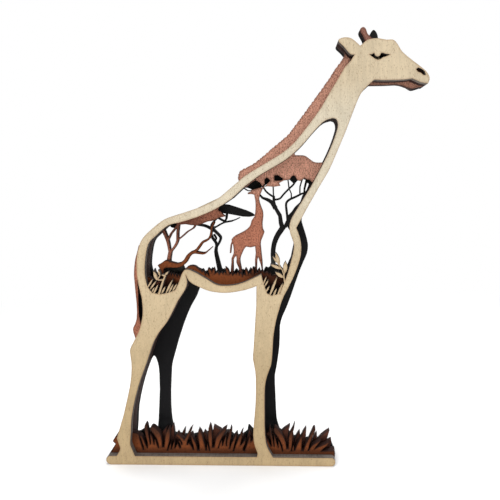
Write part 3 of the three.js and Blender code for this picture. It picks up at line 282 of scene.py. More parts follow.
@dataclass(frozen=True)
class SheetShape:
    """How a sheet's outline becomes a solid sheet of plywood.

    Attributes:
        arris: How much the edge of each face is rounded.
        flat_strip: A narrow strip beside the arris, which keeps the face's shading flat.
        piece: The longest piece of the outline.
        grid: The spacing of the points inside the faces.
        rows: How far from the cut the rows of points beside it lie.
        row_reach: The greatest length of the way in that a row follows, against the row's own.
        row_room: The share of its distance from the cut that a row's point must keep.
        grid_room: How far from the cut the grid starts, against the last row.
        arris_reach: The greatest length of the way in that the arris follows, against its own.
        arris_share: The most of a short edge that the arris may take.
        crease: The turn between two faces, in degrees, from which their edge is sharp.
        merge: How close two points must be for the triangulation to join them, in millimetres.
    """

    arris: float = 0.14 * MM
    flat_strip: float = 0.05 * MM
    piece: float = 1.3 * MM
    grid: float = 1.5 * MM
    rows: tuple[float, ...] = (0.45 * MM, 1.1 * MM)
    row_reach: float = 1.4
    row_room: float = 0.85
    grid_room: float = 1.3
    arris_reach: float = 1.8
    arris_share: float = 0.4
    crease: float = 52.0
    merge: float = 1e-7

    def face_points(self, outline: Outline) -> np.ndarray:
        """Points inside the faces: rows along the cut, and a grid over the rest.

        Args:
            outline: The sheet's outline.

        Returns:
            One [x, z] row each.
        """
        way = outline.inward(self.row_reach)
        beside = np.concatenate([outline.points + way * row for row in self.rows])
        wanted = np.repeat(self.rows, len(outline.points))
        low, high = outline.points.min(axis=0), outline.points.max(axis=0)
        x, z = np.meshgrid(
            np.arange(low[0], high[0], self.grid), np.arange(low[1], high[1], self.grid)
        )
        x = x + (np.arange(len(x)) % 2)[:, None] * self.grid / 2
        field_points = np.stack([x.ravel(), z.ravel()], axis=1)
        spots = np.concatenate([beside, field_points])
        far = np.full(len(field_points), self.rows[-1] * self.grid_room)
        least = np.concatenate([wanted * self.row_room, far])
        inside = outline.holds(spots)
        spots, least = spots[inside], least[inside]
        return spots[outline.distance(spots) >= least]

    def rings(self, outline: Outline, thickness: float) -> tuple[np.ndarray, np.ndarray]:
        """The profile carried along the outline.

        From the front: a point of the face just inside the arris, a quarter circle round to the
        wall, straight back, and the same again in reverse. Each step moves a point inwards along
        the outline's inward way and backwards along Y.

        Args:
            outline: The sheet's outline.
            thickness: The sheet's thickness.

        Returns:
            The rings' [x, z] places, one row of points for each step, and the steps' depths.
        """
        turn = np.radians([0, 45, 90])
        inset = np.concatenate([[1 + self.flat_strip / self.arris], 1 - np.sin(turn)])
        depth = np.concatenate([[0], 1 - np.cos(turn)]) * self.arris
        inset = np.concatenate([inset, inset[::-1]]) * self.arris
        depth = np.concatenate([depth, thickness - depth[::-1]])
        allowed = np.minimum(1, self.arris_share * outline.room() / self.arris)
        step = outline.inward(self.arris_reach) * allowed[:, None]
        return outline.points[None] + inset[:, None, None] * step[None], depth

    def build(self, name: str, node: bpy.types.Object) -> bpy.types.Object:
        """Makes the sheet of a CAD node as one closed mesh.

        The rings are joined by quads, and the first and the last are filled by one triangulation,
        turned round for the rear. The point i of ring k is number i + k * count, and the points
        inside the front face come after the rings, with the rear's after them.

        Args:
            name: The new piece's name.
            node: The CAD node.

        Returns:
            The new piece.
        """
        low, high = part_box(node.name)
        outline = Outline.of_node(node, self.piece)
        rings, depths = self.rings(outline, high[1] - low[1])
        steps, count = len(depths), len(outline.points)
        inner = rings[0]
        extra = self.face_points(outline)
        flat = np.concatenate([inner, extra])
        made = geometry.delaunay_2d_cdt(
            [Vector(spot) for spot in (flat / MM).tolist()],
            outline.edges.tolist(),
            [],
            0,
            self.merge,
        )
        places = np.array([spot[:] for spot in made[0]]) * MM
        source = np.array([origin[0] if origin else -1 for origin in made[3]])
        triangles = np.array(made[2])
        middle = places[triangles].mean(axis=1)
        triangles = triangles[Outline(inner, outline.edges).holds(middle)]
        stray = np.flatnonzero(source < 0)
        extra = np.concatenate([extra, places[stray]])
        source[stray] = len(flat) + np.arange(len(stray))
        triangles = source[triangles]

        ring_depth = np.broadcast_to(low[1] + depths[:, None], rings.shape[:2])
        ring_places = np.stack([rings[..., 0], ring_depth, rings[..., 1]], axis=2).reshape(-1, 3)
        front = np.stack([extra[:, 0], np.full(len(extra), low[1]), extra[:, 1]], axis=1)
        rear = front + [0, high[1] - low[1], 0]
        vertices = np.concatenate([ring_places, front, rear])

        first_extra = steps * count
        front_face = np.where(triangles < count, triangles, triangles - count + first_extra)
        rear_face = np.where(
            triangles < count,
            triangles + (steps - 1) * count,
            triangles - count + first_extra + len(extra),
        )[:, ::-1]
        start, end = outline.edges[:, 0], outline.edges[:, 1]
        step = (np.arange(steps - 1) * count)[:, None]
        walls = np.stack(
            [start + step, start + step + count, end + step + count, end + step], axis=2
        ).reshape(-1, 4)
        rim = np.concatenate([np.zeros(first_extra), np.tile(outline.distance(extra), 2)])
        mesh = bpy.data.meshes.new(name)
        mesh.from_pydata(
            vertices.tolist(), [], [*front_face.tolist(), *rear_face.tolist(), *walls.tolist()]
        )
        mesh.attributes.new(RIM, "FLOAT", "POINT").data.foreach_set("value", rim)
        mesh.polygons.foreach_set("use_smooth", [True] * len(mesh.polygons))
        mesh.set_sharp_from_angle(angle=radians(self.crease))
        mesh.validate()
        piece = bpy.data.objects.new(name, mesh)
        bpy.context.scene.collection.objects.link(piece)
        return piece


# --------------------------------------------------------------------------------------------
# Node trees

Value = float | tuple | bpy.types.NodeSocket


class Tree:
    """A short way to write a node tree.

    Args:
        tree: The tree to write into.
    """

    def __init__(self, tree: bpy.types.NodeTree) -> None:
        """Keeps the tree."""
        self.tree = tree

    def add(
        self, kind: str, inputs: dict[str | int, Value] | None = None, **settings: object
    ) -> bpy.types.Node:
        """Adds a node.

        Args:
            kind: The node's type.
            inputs: A number, a tuple or another node's socket for each named input.
            settings: The node's own settings.

        Returns:
            The node.
        """
        node = self.tree.nodes.new(kind)
        for name, setting in settings.items():
            setattr(node, name, setting)
        for name, value in (inputs or {}).items():
            if isinstance(value, bpy.types.NodeSocket):
                self.tree.links.new(value, node.inputs[name])
            else:
                socket = node.inputs[name]
                wide = isinstance(value, tuple) and socket.type == "RGBA" and len(value) == 3
                socket.default_value = (*value, 1.0) if wide else value
        return node

    def math(self, operation: str, *values: Value) -> bpy.types.NodeSocket:
        """One step of arithmetic.

        Args:
            operation: The Math node's operation.
            values: Its numbers or sockets.

        Returns:
            The answer's socket.
        """
        inputs = dict(enumerate(values))
        return self.add("ShaderNodeMath", inputs, operation=operation).outputs[0]

    def scaled(self, vector: Value, scale: tuple[float, float, float]) -> bpy.types.NodeSocket:
        """A vector with each part multiplied by its own number.

        Args:
            vector: The vector's socket.
            scale: The three numbers.

        Returns:
            The new vector's socket.
        """
        return self.add(
            "ShaderNodeVectorMath", {0: vector, 1: scale}, operation="MULTIPLY"
        ).outputs[0]

    def noise(self, vector: Value, detail: float, roughness: float = 0.5) -> bpy.types.NodeSocket:
        """Cloudy noise whose patches are about one unit across.

        Args:
            vector: Where to read it.
            detail: How many finer layers it has.
            roughness: How strong each finer layer is.

        Returns:
            The socket of a value around 0.5.
        """
        inputs = {"Vector": vector, "Scale": 1.0, "Detail": detail, "Roughness": roughness}
        return self.add("ShaderNodeTexNoise", inputs).outputs["Fac"]

    def ramp(self, value: Value, low: float, high: float) -> bpy.types.NodeSocket:
        """A smooth rise from 0 at low to 1 at high.

        Args:
            value: The value's socket.
            low: Where it starts.
            high: Where it ends.

        Returns:
            The socket of the risen value.
        """
        inputs = {"Value": value, "From Min": low, "From Max": high}
        return self.add(
            "ShaderNodeMapRange", inputs, interpolation_type="SMOOTHSTEP"
        ).outputs["Result"]

    def mix(
        self, share: Value, first: Value, second: Value, blend: str = "MIX"
    ) -> bpy.types.NodeSocket:
        """Mixes two colours.

        Args:
            share: How much of the second colour.
            first: The first colour.
            second: The second colour.
            blend: The way they are mixed.

        Returns:
            The mixed colour's socket.
        """
        node = self.add("ShaderNodeMix", data_type="RGBA", blend_type=blend)
        for place, value in ((0, share), (6, first), (7, second)):
            if isinstance(value, bpy.types.NodeSocket):
                self.tree.links.new(value, node.inputs[place])
            elif isinstance(value, tuple):
                node.inputs[place].default_value = (*value, 1.0)
            else:
                node.inputs[place].default_value = value
        return node.outputs[2]


class Effect:
    """A shader node group that several finishes share.

    Args:
        name: The group's name.
        inputs: Its inputs' names and socket types.
        outputs: Its outputs' names and socket types.
    """

    def __init__(self, name: str, inputs: dict[str, str], outputs: dict[str, str]) -> None:
        """Makes the empty group with its sockets."""
        self.group = bpy.data.node_groups.new(name, "ShaderNodeTree")
        for label, kind in inputs.items():
            self.group.interface.new_socket(label, in_out="INPUT", socket_type=kind)
        for label, kind in outputs.items():
            self.group.interface.new_socket(label, in_out="OUTPUT", socket_type=kind)
        self.tree = Tree(self.group)
        self.given = self.group.nodes.new("NodeGroupInput").outputs
        self.result = self.group.nodes.new("NodeGroupOutput")

    def give(self, **answers: bpy.types.NodeSocket) -> None:
        """Links the group's outputs.

        Args:
            answers: The socket for each output, by its name.
        """
        for label, socket in answers.items():
            self.group.links.new(socket, self.result.inputs[label])

    def place(self, tree: Tree, **inputs: Value) -> bpy.types.bpy_prop_collection:
        """Puts the group into a material's tree.

        Args:
            tree: The material's tree.
            inputs: A value or a socket for each input, by its name.

        Returns:
            The placed group's outputs.
        """
        node = tree.add("ShaderNodeGroup", node_tree=self.group)
        for label, value in inputs.items():
            if isinstance(value, bpy.types.NodeSocket):
                tree.tree.links.new(value, node.inputs[label])
            else:
                node.inputs[label].default_value = value
        return node.outputs


NUMBER, VECTOR, TINT = "NodeSocketFloat", "NodeSocketVector", "NodeSocketColor"


def veneer_grain() -> Effect:
    """Rotary-cut veneer: soft streaks up the sheet, broad bands, clouds, flecks and dark pores.

    The tone is 0.3 streaks + 0.2 bands + 0.2 clouds + 0.3 flecks, and the height is the streaks
    less 0.6 of the pores. The three numbers of each noise are its patches to a metre along X, Y
    and Z.

    Returns:
        A group from Place, in metres, to Tone, Pores and Height.
    """
    effect = Effect(
        "veneer grain", {"Place": VECTOR}, {"Tone": NUMBER, "Pores": NUMBER, "Height": NUMBER}
    )
    tree, place = effect.tree, effect.given["Place"]
    streaks = tree.noise(tree.scaled(place, (1100, 60, 110)), 4, 0.6)
    bands = tree.noise(tree.scaled(place, (70, 60, 22)), 2)
    clouds = tree.noise(tree.scaled(place, (230, 60, 170)), 3)
    flecks = tree.noise(tree.scaled(place, SPECKLE), 2, 0.7)
    tone = tree.math("MULTIPLY_ADD", streaks, 0.3, tree.math("MULTIPLY", bands, 0.2))
    tone = tree.math("MULTIPLY_ADD", clouds, 0.2, tone)
    tone = tree.math("MULTIPLY_ADD", flecks, 0.3, tone)
    pores = tree.noise(tree.scaled(place, (1900, 60, 900)), 2)
    pores = tree.ramp(pores, 0.6, 0.7)
    height = tree.math("SUBTRACT", streaks, tree.math("MULTIPLY", pores, 0.6))
    effect.give(Tone=tree.ramp(tone, 0.36, 0.64), Pores=pores, Height=height)
    return effect


def cut_wall() -> Effect:
    """The laser-cut wall of a sheet: its plies with dark glue lines, and marks of the beam.

    The tone is 0.5 beam marks + 0.3 burn + 0.2 on every other ply, and the height is the beam
    marks less half of the glue lines.

    Returns:
        A group from Place, Front and Thickness, in metres, to Wall, which is 1 on the wall and 0
        on the faces, Tone, Lines and Height.
    """
    effect = Effect(
        "cut wall",
        {"Place": VECTOR, "Front": NUMBER, "Thickness": NUMBER},
        {"Wall": NUMBER, "Tone": NUMBER, "Lines": NUMBER, "Height": NUMBER},
    )
    tree, place = effect.tree, effect.given["Place"]
    normal = tree.add("ShaderNodeNewGeometry").outputs["True Normal"]
    facing = tree.math(
        "ABSOLUTE", tree.add("ShaderNodeSeparateXYZ", {0: normal}).outputs["Y"]
    )
    wall = tree.math("SUBTRACT", 1.0, tree.ramp(facing, 0.3, 0.9))
    y = tree.add("ShaderNodeSeparateXYZ", {0: place}).outputs["Y"]
    depth = tree.math(
        "DIVIDE", tree.math("SUBTRACT", y, effect.given["Front"]), effect.given["Thickness"]
    )
    plies = tree.math("MULTIPLY", depth, float(PLIES))
    within = tree.math("ABSOLUTE", tree.math("SUBTRACT", tree.math("FRACT", plies), 0.5))
    lines = tree.ramp(within, 0.38, 0.5)
    odd = tree.math("PINGPONG", tree.math("FLOOR", plies), 1.0)
    beam = tree.noise(tree.scaled(place, (1500, 180, 1500)), 3, 0.6)
    burn = tree.noise(tree.scaled(place, (120, 300, 120)), 2)
    tone = tree.math("MULTIPLY_ADD", beam, 0.5, tree.math("MULTIPLY", burn, 0.3))
    tone = tree.math("MULTIPLY_ADD", odd, 0.2, tone)
    height = tree.math("SUBTRACT", beam, tree.math("MULTIPLY", lines, 0.5))
    effect.give(Wall=wall, Tone=tree.ramp(tone, 0.2, 0.8), Lines=lines, Height=height)
    return effect


def level_shade() -> Effect:
    """A tint that comes in with height, with an edge that wavers by up to 3 mm.

    Returns:
        A group from Place, None At and Full At, in metres, to Share.
    """
    effect = Effect(
        "level shade", {"Place": VECTOR, "None At": NUMBER, "Full At": NUMBER}, {"Share": NUMBER}
    )
    tree, place = effect.tree, effect.given["Place"]
    z = tree.add("ShaderNodeSeparateXYZ", {0: place}).outputs["Z"]
    waver = tree.math("SUBTRACT", tree.noise(tree.scaled(place, (200, 200, 200)), 3), 0.5)
    z = tree.math("MULTIPLY_ADD", waver, 6 * MM, z)
    share = tree.add(
        "ShaderNodeMapRange",
        {"Value": z, "From Min": effect.given["None At"], "From Max": effect.given["Full At"]},
        interpolation_type="SMOOTHSTEP",
    ).outputs["Result"]
    effect.give(Share=share)
    return effect


def pocket_shade() -> Effect:
    """A soft-edged oval patch: full within half its reach and gone at its full reach.

    Returns:
        A group from Place, Centre and Reach, in metres, to Share.
    """
    effect = Effect(
        "pocket shade", {"Place": VECTOR, "Centre": VECTOR, "Reach": VECTOR}, {"Share": NUMBER}
    )
    tree, given = effect.tree, effect.given
    off = tree.add(
        "ShaderNodeVectorMath", {0: given["Place"], 1: given["Centre"]}, operation="SUBTRACT"
    ).outputs[0]
    off = tree.add(
        "ShaderNodeVectorMath", {0: off, 1: given["Reach"]}, operation="DIVIDE"
    ).outputs[0]
    off = tree.scaled(off, (1, 0, 1))
    away = tree.add("ShaderNodeVectorMath", {0: off}, operation="LENGTH").outputs["Value"]
    effect.give(Share=tree.math("SUBTRACT", 1.0, tree.ramp(away, 0.5, 1.0)))
    return effect


@dataclass
class Effects:
    """The node groups that the finishes share."""

    grain: Effect = field(default_factory=veneer_grain)
    wall: Effect = field(default_factory=cut_wall)
    shade: Effect = field(default_factory=level_shade)
    pocket: Effect = field(default_factory=pocket_shade)


# --------------------------------------------------------------------------------------------
# Finishes


class Coat(Enum):
    """How the finish lies on the veneer: smoothly, or as metal flakes with pits between them."""

    SMOOTH = "smooth"
    FLAKED = "flaked"


@dataclass(frozen=True)
class Zone:
    """A darker or warmer part of a face, between two heights.

    Attributes:
        none_at: The height where it starts.
        full_at: The height where it is full.
        colour: Its colour.
        strength: How much of the colour it has where it is full.
    """

    none_at: float
    full_at: float
    colour: Colour
    strength: float


@dataclass(frozen=True)
class Pocket:
    """A soft oval patch of colour laid over a face, mostly painted shade, and painted sheen where
    it lightens the black sheet.

    Attributes:
        centre: Its middle, [x, z] in metres.
        reach: How far it goes along X and along Z, in metres.
        colour: Its colour.
        strength: How much of the colour it has in the middle.
    """

    centre: tuple[float, float]
    reach: tuple[float, float]
    colour: Colour
    strength: float


@dataclass(frozen=True)
class PlywoodFinish:
    """The finish of one sheet.

    Attributes:
        name: The material's name.
        coat: How the finish lies on the veneer.
        face: The face's colour.
        contrast: How far the grain lightens and darkens it, as a share.
        pore: The colour of the pores.
        pore_strength: How much of it the pores take.
        wall_light: The lighter colour of the cut wall.
        wall_dark: The darker colour of the cut wall.
        line: The colour of the glue lines between the plies.
        rim: The colour that the laser left beside a cut.
        rim_strength: How much of it there is at the cut itself.
        rim_width: How far it reaches.
        zones: The darker or warmer parts of the face.
        pockets: The patches of colour laid over the face, mostly painted shade and painted sheen.
        roughness: The face's roughness.
        wall_roughness: The wall's roughness.
        metallic: How metallic the coat is.
        specular: How strongly the surface reflects.
        relief: The height of the grain's relief.
    """

    name: str
    coat: Coat
    face: Colour
    contrast: float
    pore: Colour
    pore_strength: float
    wall_light: Colour
    wall_dark: Colour
    line: Colour
    rim: Colour
    rim_strength: float
    rim_width: float
    zones: tuple[Zone, ...] = ()
    pockets: tuple[Pocket, ...] = ()
    roughness: float = 0.6
    wall_roughness: float = 0.85
    metallic: float = 0.0
    specular: float = 0.3
    relief: float = 0.03 * MM

    def face_colour(self, tree: Tree, place: Value, effects: Effects) -> tuple[Value, Value]:
        """The colour and the relief of the faces.

        The zones and then the pockets are laid over the face's colour. The grain multiplies that
        by 1 - contrast to 1 + contrast, and the pores, or the pits between the flakes, and the
        scorched rim come last.

        Args:
            tree: The material's tree.
            place: The socket of the place on the object.
            effects: The shared groups.

        Returns:
            The sockets of the colour and of the height.
        """
        colour: Value = self.face
        for zone in self.zones:
            share = effects.shade.place(
                tree, **{"Place": place, "None At": zone.none_at, "Full At": zone.full_at}
            )["Share"]
            share = tree.math("MULTIPLY", share, zone.strength)
            colour = tree.mix(share, colour, zone.colour)
        for pocket in self.pockets:
            share = effects.pocket.place(
                tree,
                Place=place,
                Centre=(pocket.centre[0], 0.0, pocket.centre[1]),
                Reach=(pocket.reach[0], 1.0, pocket.reach[1]),
            )["Share"]
            share = tree.math("MULTIPLY", share, pocket.strength)
            colour = tree.mix(share, colour, pocket.colour)
        grain = effects.grain.place(tree, Place=place)
        height, marks = grain["Height"], grain["Pores"]
        if self.coat is Coat.FLAKED:
            flakes = tree.noise(tree.scaled(place, SPECKLE), 3, 0.8)
            marks = tree.math("SUBTRACT", 1.0, tree.ramp(flakes, 0.36, 0.52))
            height = tree.math("MULTIPLY_ADD", flakes, 2.0, height)
        tone = tree.math(
            "MULTIPLY_ADD", grain["Tone"], 2.0 * self.contrast, 1.0 - self.contrast
        )
        colour = tree.mix(1.0, colour, tone, "MULTIPLY")
        colour = tree.mix(tree.math("MULTIPLY", marks, self.pore_strength), colour, self.pore)
        rim = tree.add("ShaderNodeAttribute", attribute_name=RIM).outputs["Fac"]
        scorch = tree.math("SUBTRACT", 1.0, tree.ramp(rim, 0.0, self.rim_width))
        scorch = tree.math("MULTIPLY", scorch, self.rim_strength)
        return tree.mix(scorch, colour, self.rim), height

    def material(self, effects: Effects, front: float, thickness: float) -> bpy.types.Material:
        """Makes the sheet's material.

        Args:
            effects: The shared groups.
            front: The Y of the sheet's front face.
            thickness: The sheet's thickness.

        Returns:
            The material.
        """
        material = bpy.data.materials.new(self.name)
        material.use_nodes = True
        material.node_tree.nodes.clear()
        tree = Tree(material.node_tree)
        place = tree.add("ShaderNodeTexCoord").outputs["Object"]
        face, face_height = self.face_colour(tree, place, effects)
        wall = effects.wall.place(tree, Place=place, Front=front, Thickness=thickness)
        side = tree.mix(wall["Tone"], self.wall_dark, self.wall_light)
        side = tree.mix(tree.math("MULTIPLY", wall["Lines"], 0.6), side, self.line)
        colour = tree.mix(wall["Wall"], face, side)
        gap = tree.math("SUBTRACT", wall["Height"], face_height)
        height = tree.math("MULTIPLY_ADD", gap, wall["Wall"], face_height)
        rough = tree.math(
            "MULTIPLY_ADD", wall["Wall"], self.wall_roughness - self.roughness, self.roughness
        )
        bump = tree.add("ShaderNodeBump", {"Height": height, "Distance": self.relief})
        shader = tree.add(
            "ShaderNodeBsdfPrincipled",
            {
                "Base Color": colour,
                "Roughness": rough,
                "Specular IOR Level": self.specular,
                "Normal": bump.outputs["Normal"],
            },
        )
        if self.metallic:
            tree.tree.links.new(
                tree.math("MULTIPLY", tree.math("SUBTRACT", 1.0, wall["Wall"]), self.metallic),
                shader.inputs["Metallic"],
            )
        tree.add("ShaderNodeOutputMaterial", {"Surface": shader.outputs["BSDF"]})
        return material


# Painted shade: the near-black of deep shade in the narrow grass slots and behind the thigh
# fringes.
PAINTED_SHADE = paint(26, 15, 12)

BIRCH = PlywoodFinish(
    name="bare birch veneer",
    coat=Coat.SMOOTH,
    face=paint(205, 184, 149),
    contrast=0.12,
    pore=paint(128, 96, 66),
    pore_strength=0.45,
    wall_light=paint(130, 120, 112),
    wall_dark=paint(70, 63, 59),
    line=paint(44, 38, 36),
    rim=paint(150, 108, 68),
    rim_strength=0.35,
    rim_width=1.1 * MM,
    zones=(
        Zone(118 * MM, 160 * MM, paint(219, 208, 185), 0.9),
        Zone(196 * MM, 224 * MM, paint(212, 193, 161), 0.85),
        Zone(110 * MM, 26 * MM, paint(183, 159, 120), 0.9),
    ),
    roughness=0.62,
    specular=0.2,
)

BROWN = PlywoodFinish(
    name="saddle brown veneer",
    coat=Coat.SMOOTH,
    face=paint(126, 67, 34),
    contrast=0.16,
    pore=paint(46, 22, 12),
    pore_strength=0.6,
    wall_light=paint(66, 40, 34),
    wall_dark=paint(32, 20, 18),
    line=paint(16, 10, 10),
    rim=paint(40, 20, 14),
    rim_strength=0.6,
    rim_width=0.8 * MM,
    pockets=(
        # Darker towards the tips of the grass, from about 9 mm up.
        Pocket((-20 * MM, 30 * MM), (260 * MM, 21 * MM), paint(60, 35, 24), 0.9),
        # Painted shadow of the birch sheet along the foot of the grass.
        Pocket((-20 * MM, 3 * MM), (240 * MM, 7 * MM), paint(62, 34, 22), 0.6),
        # Painted shade behind the two thigh fringes, deepest just under them.
        Pocket((5 * MM, 108 * MM), (15 * MM, 14 * MM), paint(48, 22, 15), 0.75),
        Pocket((-56 * MM, 101 * MM), (15 * MM, 14 * MM), paint(48, 24, 18), 0.8),
        Pocket((-55 * MM, 99 * MM), (15 * MM, 9 * MM), PAINTED_SHADE, 0.95),
        Pocket((7 * MM, 98 * MM), (14 * MM, 11 * MM), PAINTED_SHADE, 0.95),
    ),
    roughness=0.6,
    specular=0.12,
)

COPPER = PlywoodFinish(
    name="copper metallic veneer",
    coat=Coat.FLAKED,
    face=paint(196, 128, 101),
    contrast=0.2,
    pore=paint(96, 50, 38),
    pore_strength=0.75,
    wall_light=paint(72, 42, 35),
    wall_dark=paint(32, 20, 18),
    line=paint(16, 11, 10),
    rim=paint(84, 44, 34),
    rim_strength=0.5,
    rim_width=1.4 * MM,
    zones=(
        # Painted reflection: the copper lighter from 146 mm up.
        Zone(146 * MM, 166 * MM, paint(246, 186, 160), 0.75),
        # Painted reflection: the copper darker below 60 mm, as if it mirrored a dark floor.
        Zone(60 * MM, 34 * MM, paint(92, 54, 40), 0.95),
        # Painted shade in the narrow gaps between the grass blades, below 17 mm.
        Zone(17 * MM, 11 * MM, PAINTED_SHADE, 0.85),
        # Painted shadow of the frame's rim on the top of the copper crowns.
        Zone(232 * MM, 240 * MM, paint(140, 96, 84), 0.8),
    ),
    pockets=(
        # Painted shade: a darker patch of copper, and a darker one at the bottom of the belly
        # opening.
        Pocket((-50 * MM, 142 * MM), (22 * MM, 14 * MM), paint(116, 70, 56), 0.6),
        Pocket((-8 * MM, 110 * MM), (26 * MM, 12 * MM), paint(72, 38, 28), 0.7),
    ),
    roughness=0.45,
    metallic=0.55,
    specular=0.25,
)

BLACK = PlywoodFinish(
    name="black satin veneer",
    coat=Coat.SMOOTH,
    face=paint(19, 18, 20),
    contrast=0.18,
    pore=paint(8, 8, 9),
    pore_strength=0.5,
    wall_light=paint(24, 23, 23),
    wall_dark=paint(13, 12, 12),
    line=paint(8, 8, 8),
    rim=paint(12, 12, 13),
    rim_strength=0.4,
    rim_width=0.8 * MM,
    # Painted sheen: the satin black greyer from 70 mm up.
    zones=(Zone(70 * MM, 110 * MM, paint(36, 35, 34), 0.6),),
    pockets=(
        # Painted sheen: grey patches on the black humps and along the black grass.
        Pocket((-49 * MM, 116 * MM), (9 * MM, 4.5 * MM), paint(78, 80, 75), 0.9),
        Pocket((6 * MM, 118 * MM), (6 * MM, 4 * MM), paint(70, 72, 68), 0.8),
        Pocket((-10 * MM, 17 * MM), (140 * MM, 6 * MM), paint(40, 41, 42), 0.6),
    ),
    roughness=0.5,
    specular=0.12,
)


@dataclass(frozen=True)
class GlueFinish:
    """Dried wood glue, cloudy cream, which only shows as a thin line.

    Attributes:
        name: The material's name.
        light: The lighter colour.
        dark: The darker colour.
        roughness: The surface's roughness.
        relief: The height of the clouds' relief.
        clouds: How many clouds there are to a metre along X, Y and Z.
    """

    name: str = "dried wood glue"
    light: Colour = paint(206, 188, 150)
    dark: Colour = paint(170, 146, 104)
    roughness: float = 0.5
    relief: float = 0.02 * MM
    clouds: tuple[float, float, float] = (700, 700, 700)

    def material(self) -> bpy.types.Material:
        """Makes the material."""
        material = bpy.data.materials.new(self.name)
        material.use_nodes = True
        material.node_tree.nodes.clear()
        tree = Tree(material.node_tree)
        place = tree.add("ShaderNodeTexCoord").outputs["Object"]
        clouds = tree.noise(tree.scaled(place, self.clouds), 3)
        bump = tree.add("ShaderNodeBump", {"Height": clouds, "Distance": self.relief})
        shader = tree.add(
            "ShaderNodeBsdfPrincipled",
            {
                "Base Color": tree.mix(tree.ramp(clouds, 0.35, 0.65), self.dark, self.light),
                "Roughness": self.roughness,
                "Normal": bump.outputs["Normal"],
            },
        )
        tree.add("ShaderNodeOutputMaterial", {"Surface": shader.outputs["BSDF"]})
        return material


# --------------------------------------------------------------------------------------------
# Pieces


@dataclass(frozen=True)
class Sheet:
    """One of the four sheets of plywood.

    Attributes:
        node: Its CAD node.
        slot: Its material slot in the record; not used.
        finish: Its finish.
        shape: How its outline becomes a sheet.
    """

    node: str
    slot: str
    finish: PlywoodFinish
    shape: SheetShape = SheetShape()

    def make(self, frame: dict, effects: Effects) -> bpy.types.Object:
        """Builds the sheet, dresses it and lets it stand for its CAD node.

        Args:
            effects: The shared groups.

        Returns:
            The finished piece.
        """
        node = frame["nodes"][self.node]
        low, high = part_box(self.node)
        piece = self.shape.build(f"{self.node}_veneered", node)
        piece.data.materials.append(self.finish.material(effects, low[1], high[1] - low[1]))
        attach(piece, BODY)
        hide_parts(self.node)
        return piece


@dataclass(frozen=True)
class GlueFilms:
    """The three films of glue, which stay as their CAD nodes.

    Attributes:
        nodes: The CAD nodes.
        finish: Their finish.
    """

    nodes: tuple[str, ...] = ("front_glue_film", "middle_glue_film", "back_glue_film")
    finish: GlueFinish = GlueFinish()

    def dress(self, frame: dict) -> None:
        """Gives the films their material.
        """
        material = self.finish.material()
        for name in self.nodes:
            film = frame["nodes"][name]
            film.data.materials.clear()
            film.data.materials.append(material)
            log.info("%s: dressed", name)


# --------------------------------------------------------------------------------------------
# Stage


@dataclass(frozen=True)
class Lamp:
    """A square lamp, wide enough for a soft shadow.

    Attributes:
        name: Its name.
        place: Where it hangs.
        side: The length of its side.
        power: Its power in watts.
    """

    name: str
    place: tuple[float, float, float]
    side: float
    power: float

    def hang(self, target: tuple[float, float, float]) -> None:
        """Makes the lamp and turns it to the target.

        Args:
            target: The place that it shines at.
        """
        data = bpy.data.lights.new(self.name, "AREA")
        data.size = self.side
        data.energy = self.power
        lamp = bpy.data.objects.new(self.name, data)
        lamp.location = self.place
        aim = Vector(target) - Vector(self.place)
        lamp.rotation_euler = aim.to_track_quat("-Z", "Y").to_euler()
        bpy.context.scene.collection.objects.link(lamp)


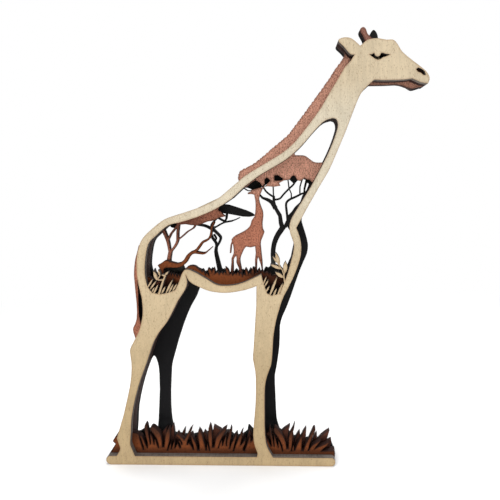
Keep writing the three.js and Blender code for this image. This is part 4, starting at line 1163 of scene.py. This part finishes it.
@dataclass(frozen=True)
class Studio:
    """A pale floor that fades into a pale room, four soft lamps and the camera.

    Attributes:
        floor_half: Half the side of the square floor.
        fade_from: Where the floor starts to fade into the room.
        fade_to: Where it has faded.
        room: The room's colour where it is seen.
        room_light: How brightly the room lights the figure, as a share of its own brightness.
        floor: The floor's colour.
        lamps: One in front on the left, one in front on the right, one above and one behind.
        target: What the lamps shine at.
        eye: Where the camera stands.
        right: The camera's right-hand direction.
        ahead: The direction it looks in.
        lens: Its focal length in millimetres.
        sensor: The width of its sensor in millimetres.
        sight: The nearest and the farthest distance that it sees.
    """

    floor_half: float = 3.0
    fade_from: float = 0.2
    fade_to: float = 0.6
    room: Colour = (1.0, 1.0, 1.0)
    room_light: float = 0.48
    floor: Colour = (0.94, 0.94, 0.94)
    lamps: tuple[Lamp, ...] = (
        Lamp("key lamp", (-0.45, -0.75, 0.75), 0.5, 4.4),
        Lamp("fill lamp", (0.7, -0.6, 0.35), 0.6, 1.6),
        Lamp("top lamp", (0.0, 0.1, 1.0), 0.7, 6.0),
        Lamp("rear lamp", (0.4, 0.8, 0.6), 0.6, 3.0),
    )
    target: tuple[float, float, float] = (0.0, 0.0, 0.12)
    eye: tuple[float, float, float] = (0.01465, -0.34983, 0.16523)
    right: tuple[float, float, float] = (0.99822, 0.05673, -0.01817)
    ahead: tuple[float, float, float] = (-0.05842, 0.99193, -0.11259)
    lens: float = 44.06
    sensor: float = 36.0
    sight: tuple[float, float] = (0.01, 20.0)

    def build(self) -> None:
        """Makes the floor, the room's light, the lamps and the camera."""
        self.make_floor()
        self.light_room()
        for lamp in self.lamps:
            lamp.hang(self.target)
        self.make_camera()

    def make_floor(self) -> None:
        """A square floor, whose material turns into the room's glow with distance."""
        side = self.floor_half
        mesh = bpy.data.meshes.new("floor")
        square = [(-side, -side, 0), (side, -side, 0), (side, side, 0), (-side, side, 0)]
        mesh.from_pydata(square, [], [(0, 1, 2, 3)])
        floor = bpy.data.objects.new("floor", mesh)
        bpy.context.scene.collection.objects.link(floor)
        material = bpy.data.materials.new("pale floor")
        material.use_nodes = True
        material.node_tree.nodes.clear()
        tree = Tree(material.node_tree)
        place = tree.add("ShaderNodeTexCoord").outputs["Object"]
        away = tree.add("ShaderNodeVectorMath", {0: place}, operation="LENGTH").outputs["Value"]
        matte = tree.add("ShaderNodeBsdfDiffuse", {"Color": self.floor}).outputs[0]
        glow = tree.add(
            "ShaderNodeEmission", {"Color": self.room, "Strength": self.seen(tree)}
        ).outputs[0]
        fade = tree.ramp(away, self.fade_from, self.fade_to)
        both = tree.add("ShaderNodeMixShader", {0: fade, 1: matte, 2: glow}).outputs[0]
        tree.add("ShaderNodeOutputMaterial", {"Surface": both})
        mesh.materials.append(material)
        floor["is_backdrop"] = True

    def seen(self, tree: Tree) -> bpy.types.NodeSocket:
        """A glow's strength: full where the camera sees it and the room's own as a light.

        Args:
            tree: The tree of the world or of the floor's material.

        Returns:
            The strength's socket.
        """
        camera = tree.add("ShaderNodeLightPath").outputs["Is Camera Ray"]
        return tree.math("MULTIPLY_ADD", camera, 1.0 - self.room_light, self.room_light)

    def light_room(self) -> None:
        """An even pale glow from all round, which is dimmer as a light than it looks."""
        world = bpy.data.worlds.new("room")
        world.use_nodes = True
        tree = Tree(world.node_tree)
        glow = world.node_tree.nodes["Background"]
        glow.inputs["Color"].default_value = (*self.room, 1.0)
        tree.tree.links.new(self.seen(tree), glow.inputs["Strength"])
        bpy.context.scene.world = world

    def make_camera(self) -> None:
        """A camera at the eye, upright but for a slight roll."""
        data = bpy.data.cameras.new("camera")
        data.lens = self.lens
        data.sensor_width = self.sensor
        data.clip_start, data.clip_end = self.sight
        camera = bpy.data.objects.new("camera", data)
        right, ahead = Vector(self.right).normalized(), Vector(self.ahead).normalized()
        up = right.cross(ahead)
        turn = Matrix((right, up, -ahead)).transposed()
        camera.matrix_world = Matrix.Translation(self.eye) @ turn.to_4x4()
        bpy.context.scene.collection.objects.link(camera)
        bpy.context.scene.camera = camera
        bpy.context.scene.view_settings.view_transform = "Standard"
        bpy.context.scene.view_settings.look = "None"


def corners() -> list[list[float]]:
    """The lowest and highest corner of the shown object, as plain lists."""
    return [[float(value) for value in corner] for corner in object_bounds()]


def main() -> None:
    """Builds the stage and the figure."""
    logging.basicConfig(level=logging.INFO, format="%(name)s %(message)s")
    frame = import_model()
    Studio().build()
    effects = Effects()
    for sheet in (
        Sheet("front_birch_sheet", "birch_plywood", BIRCH),
        Sheet("brown_savanna_sheet", "brown_plywood", BROWN),
        Sheet("copper_scene_sheet", "copper_plywood", COPPER),
        Sheet("black_back_sheet", "black_plywood", BLACK),
    ):
        piece = sheet.make(frame, effects)
        log.info("%s: %d faces", piece.name, len(piece.data.polygons))
    GlueFilms().dress(frame)


if __name__ == "__main__":
    main()
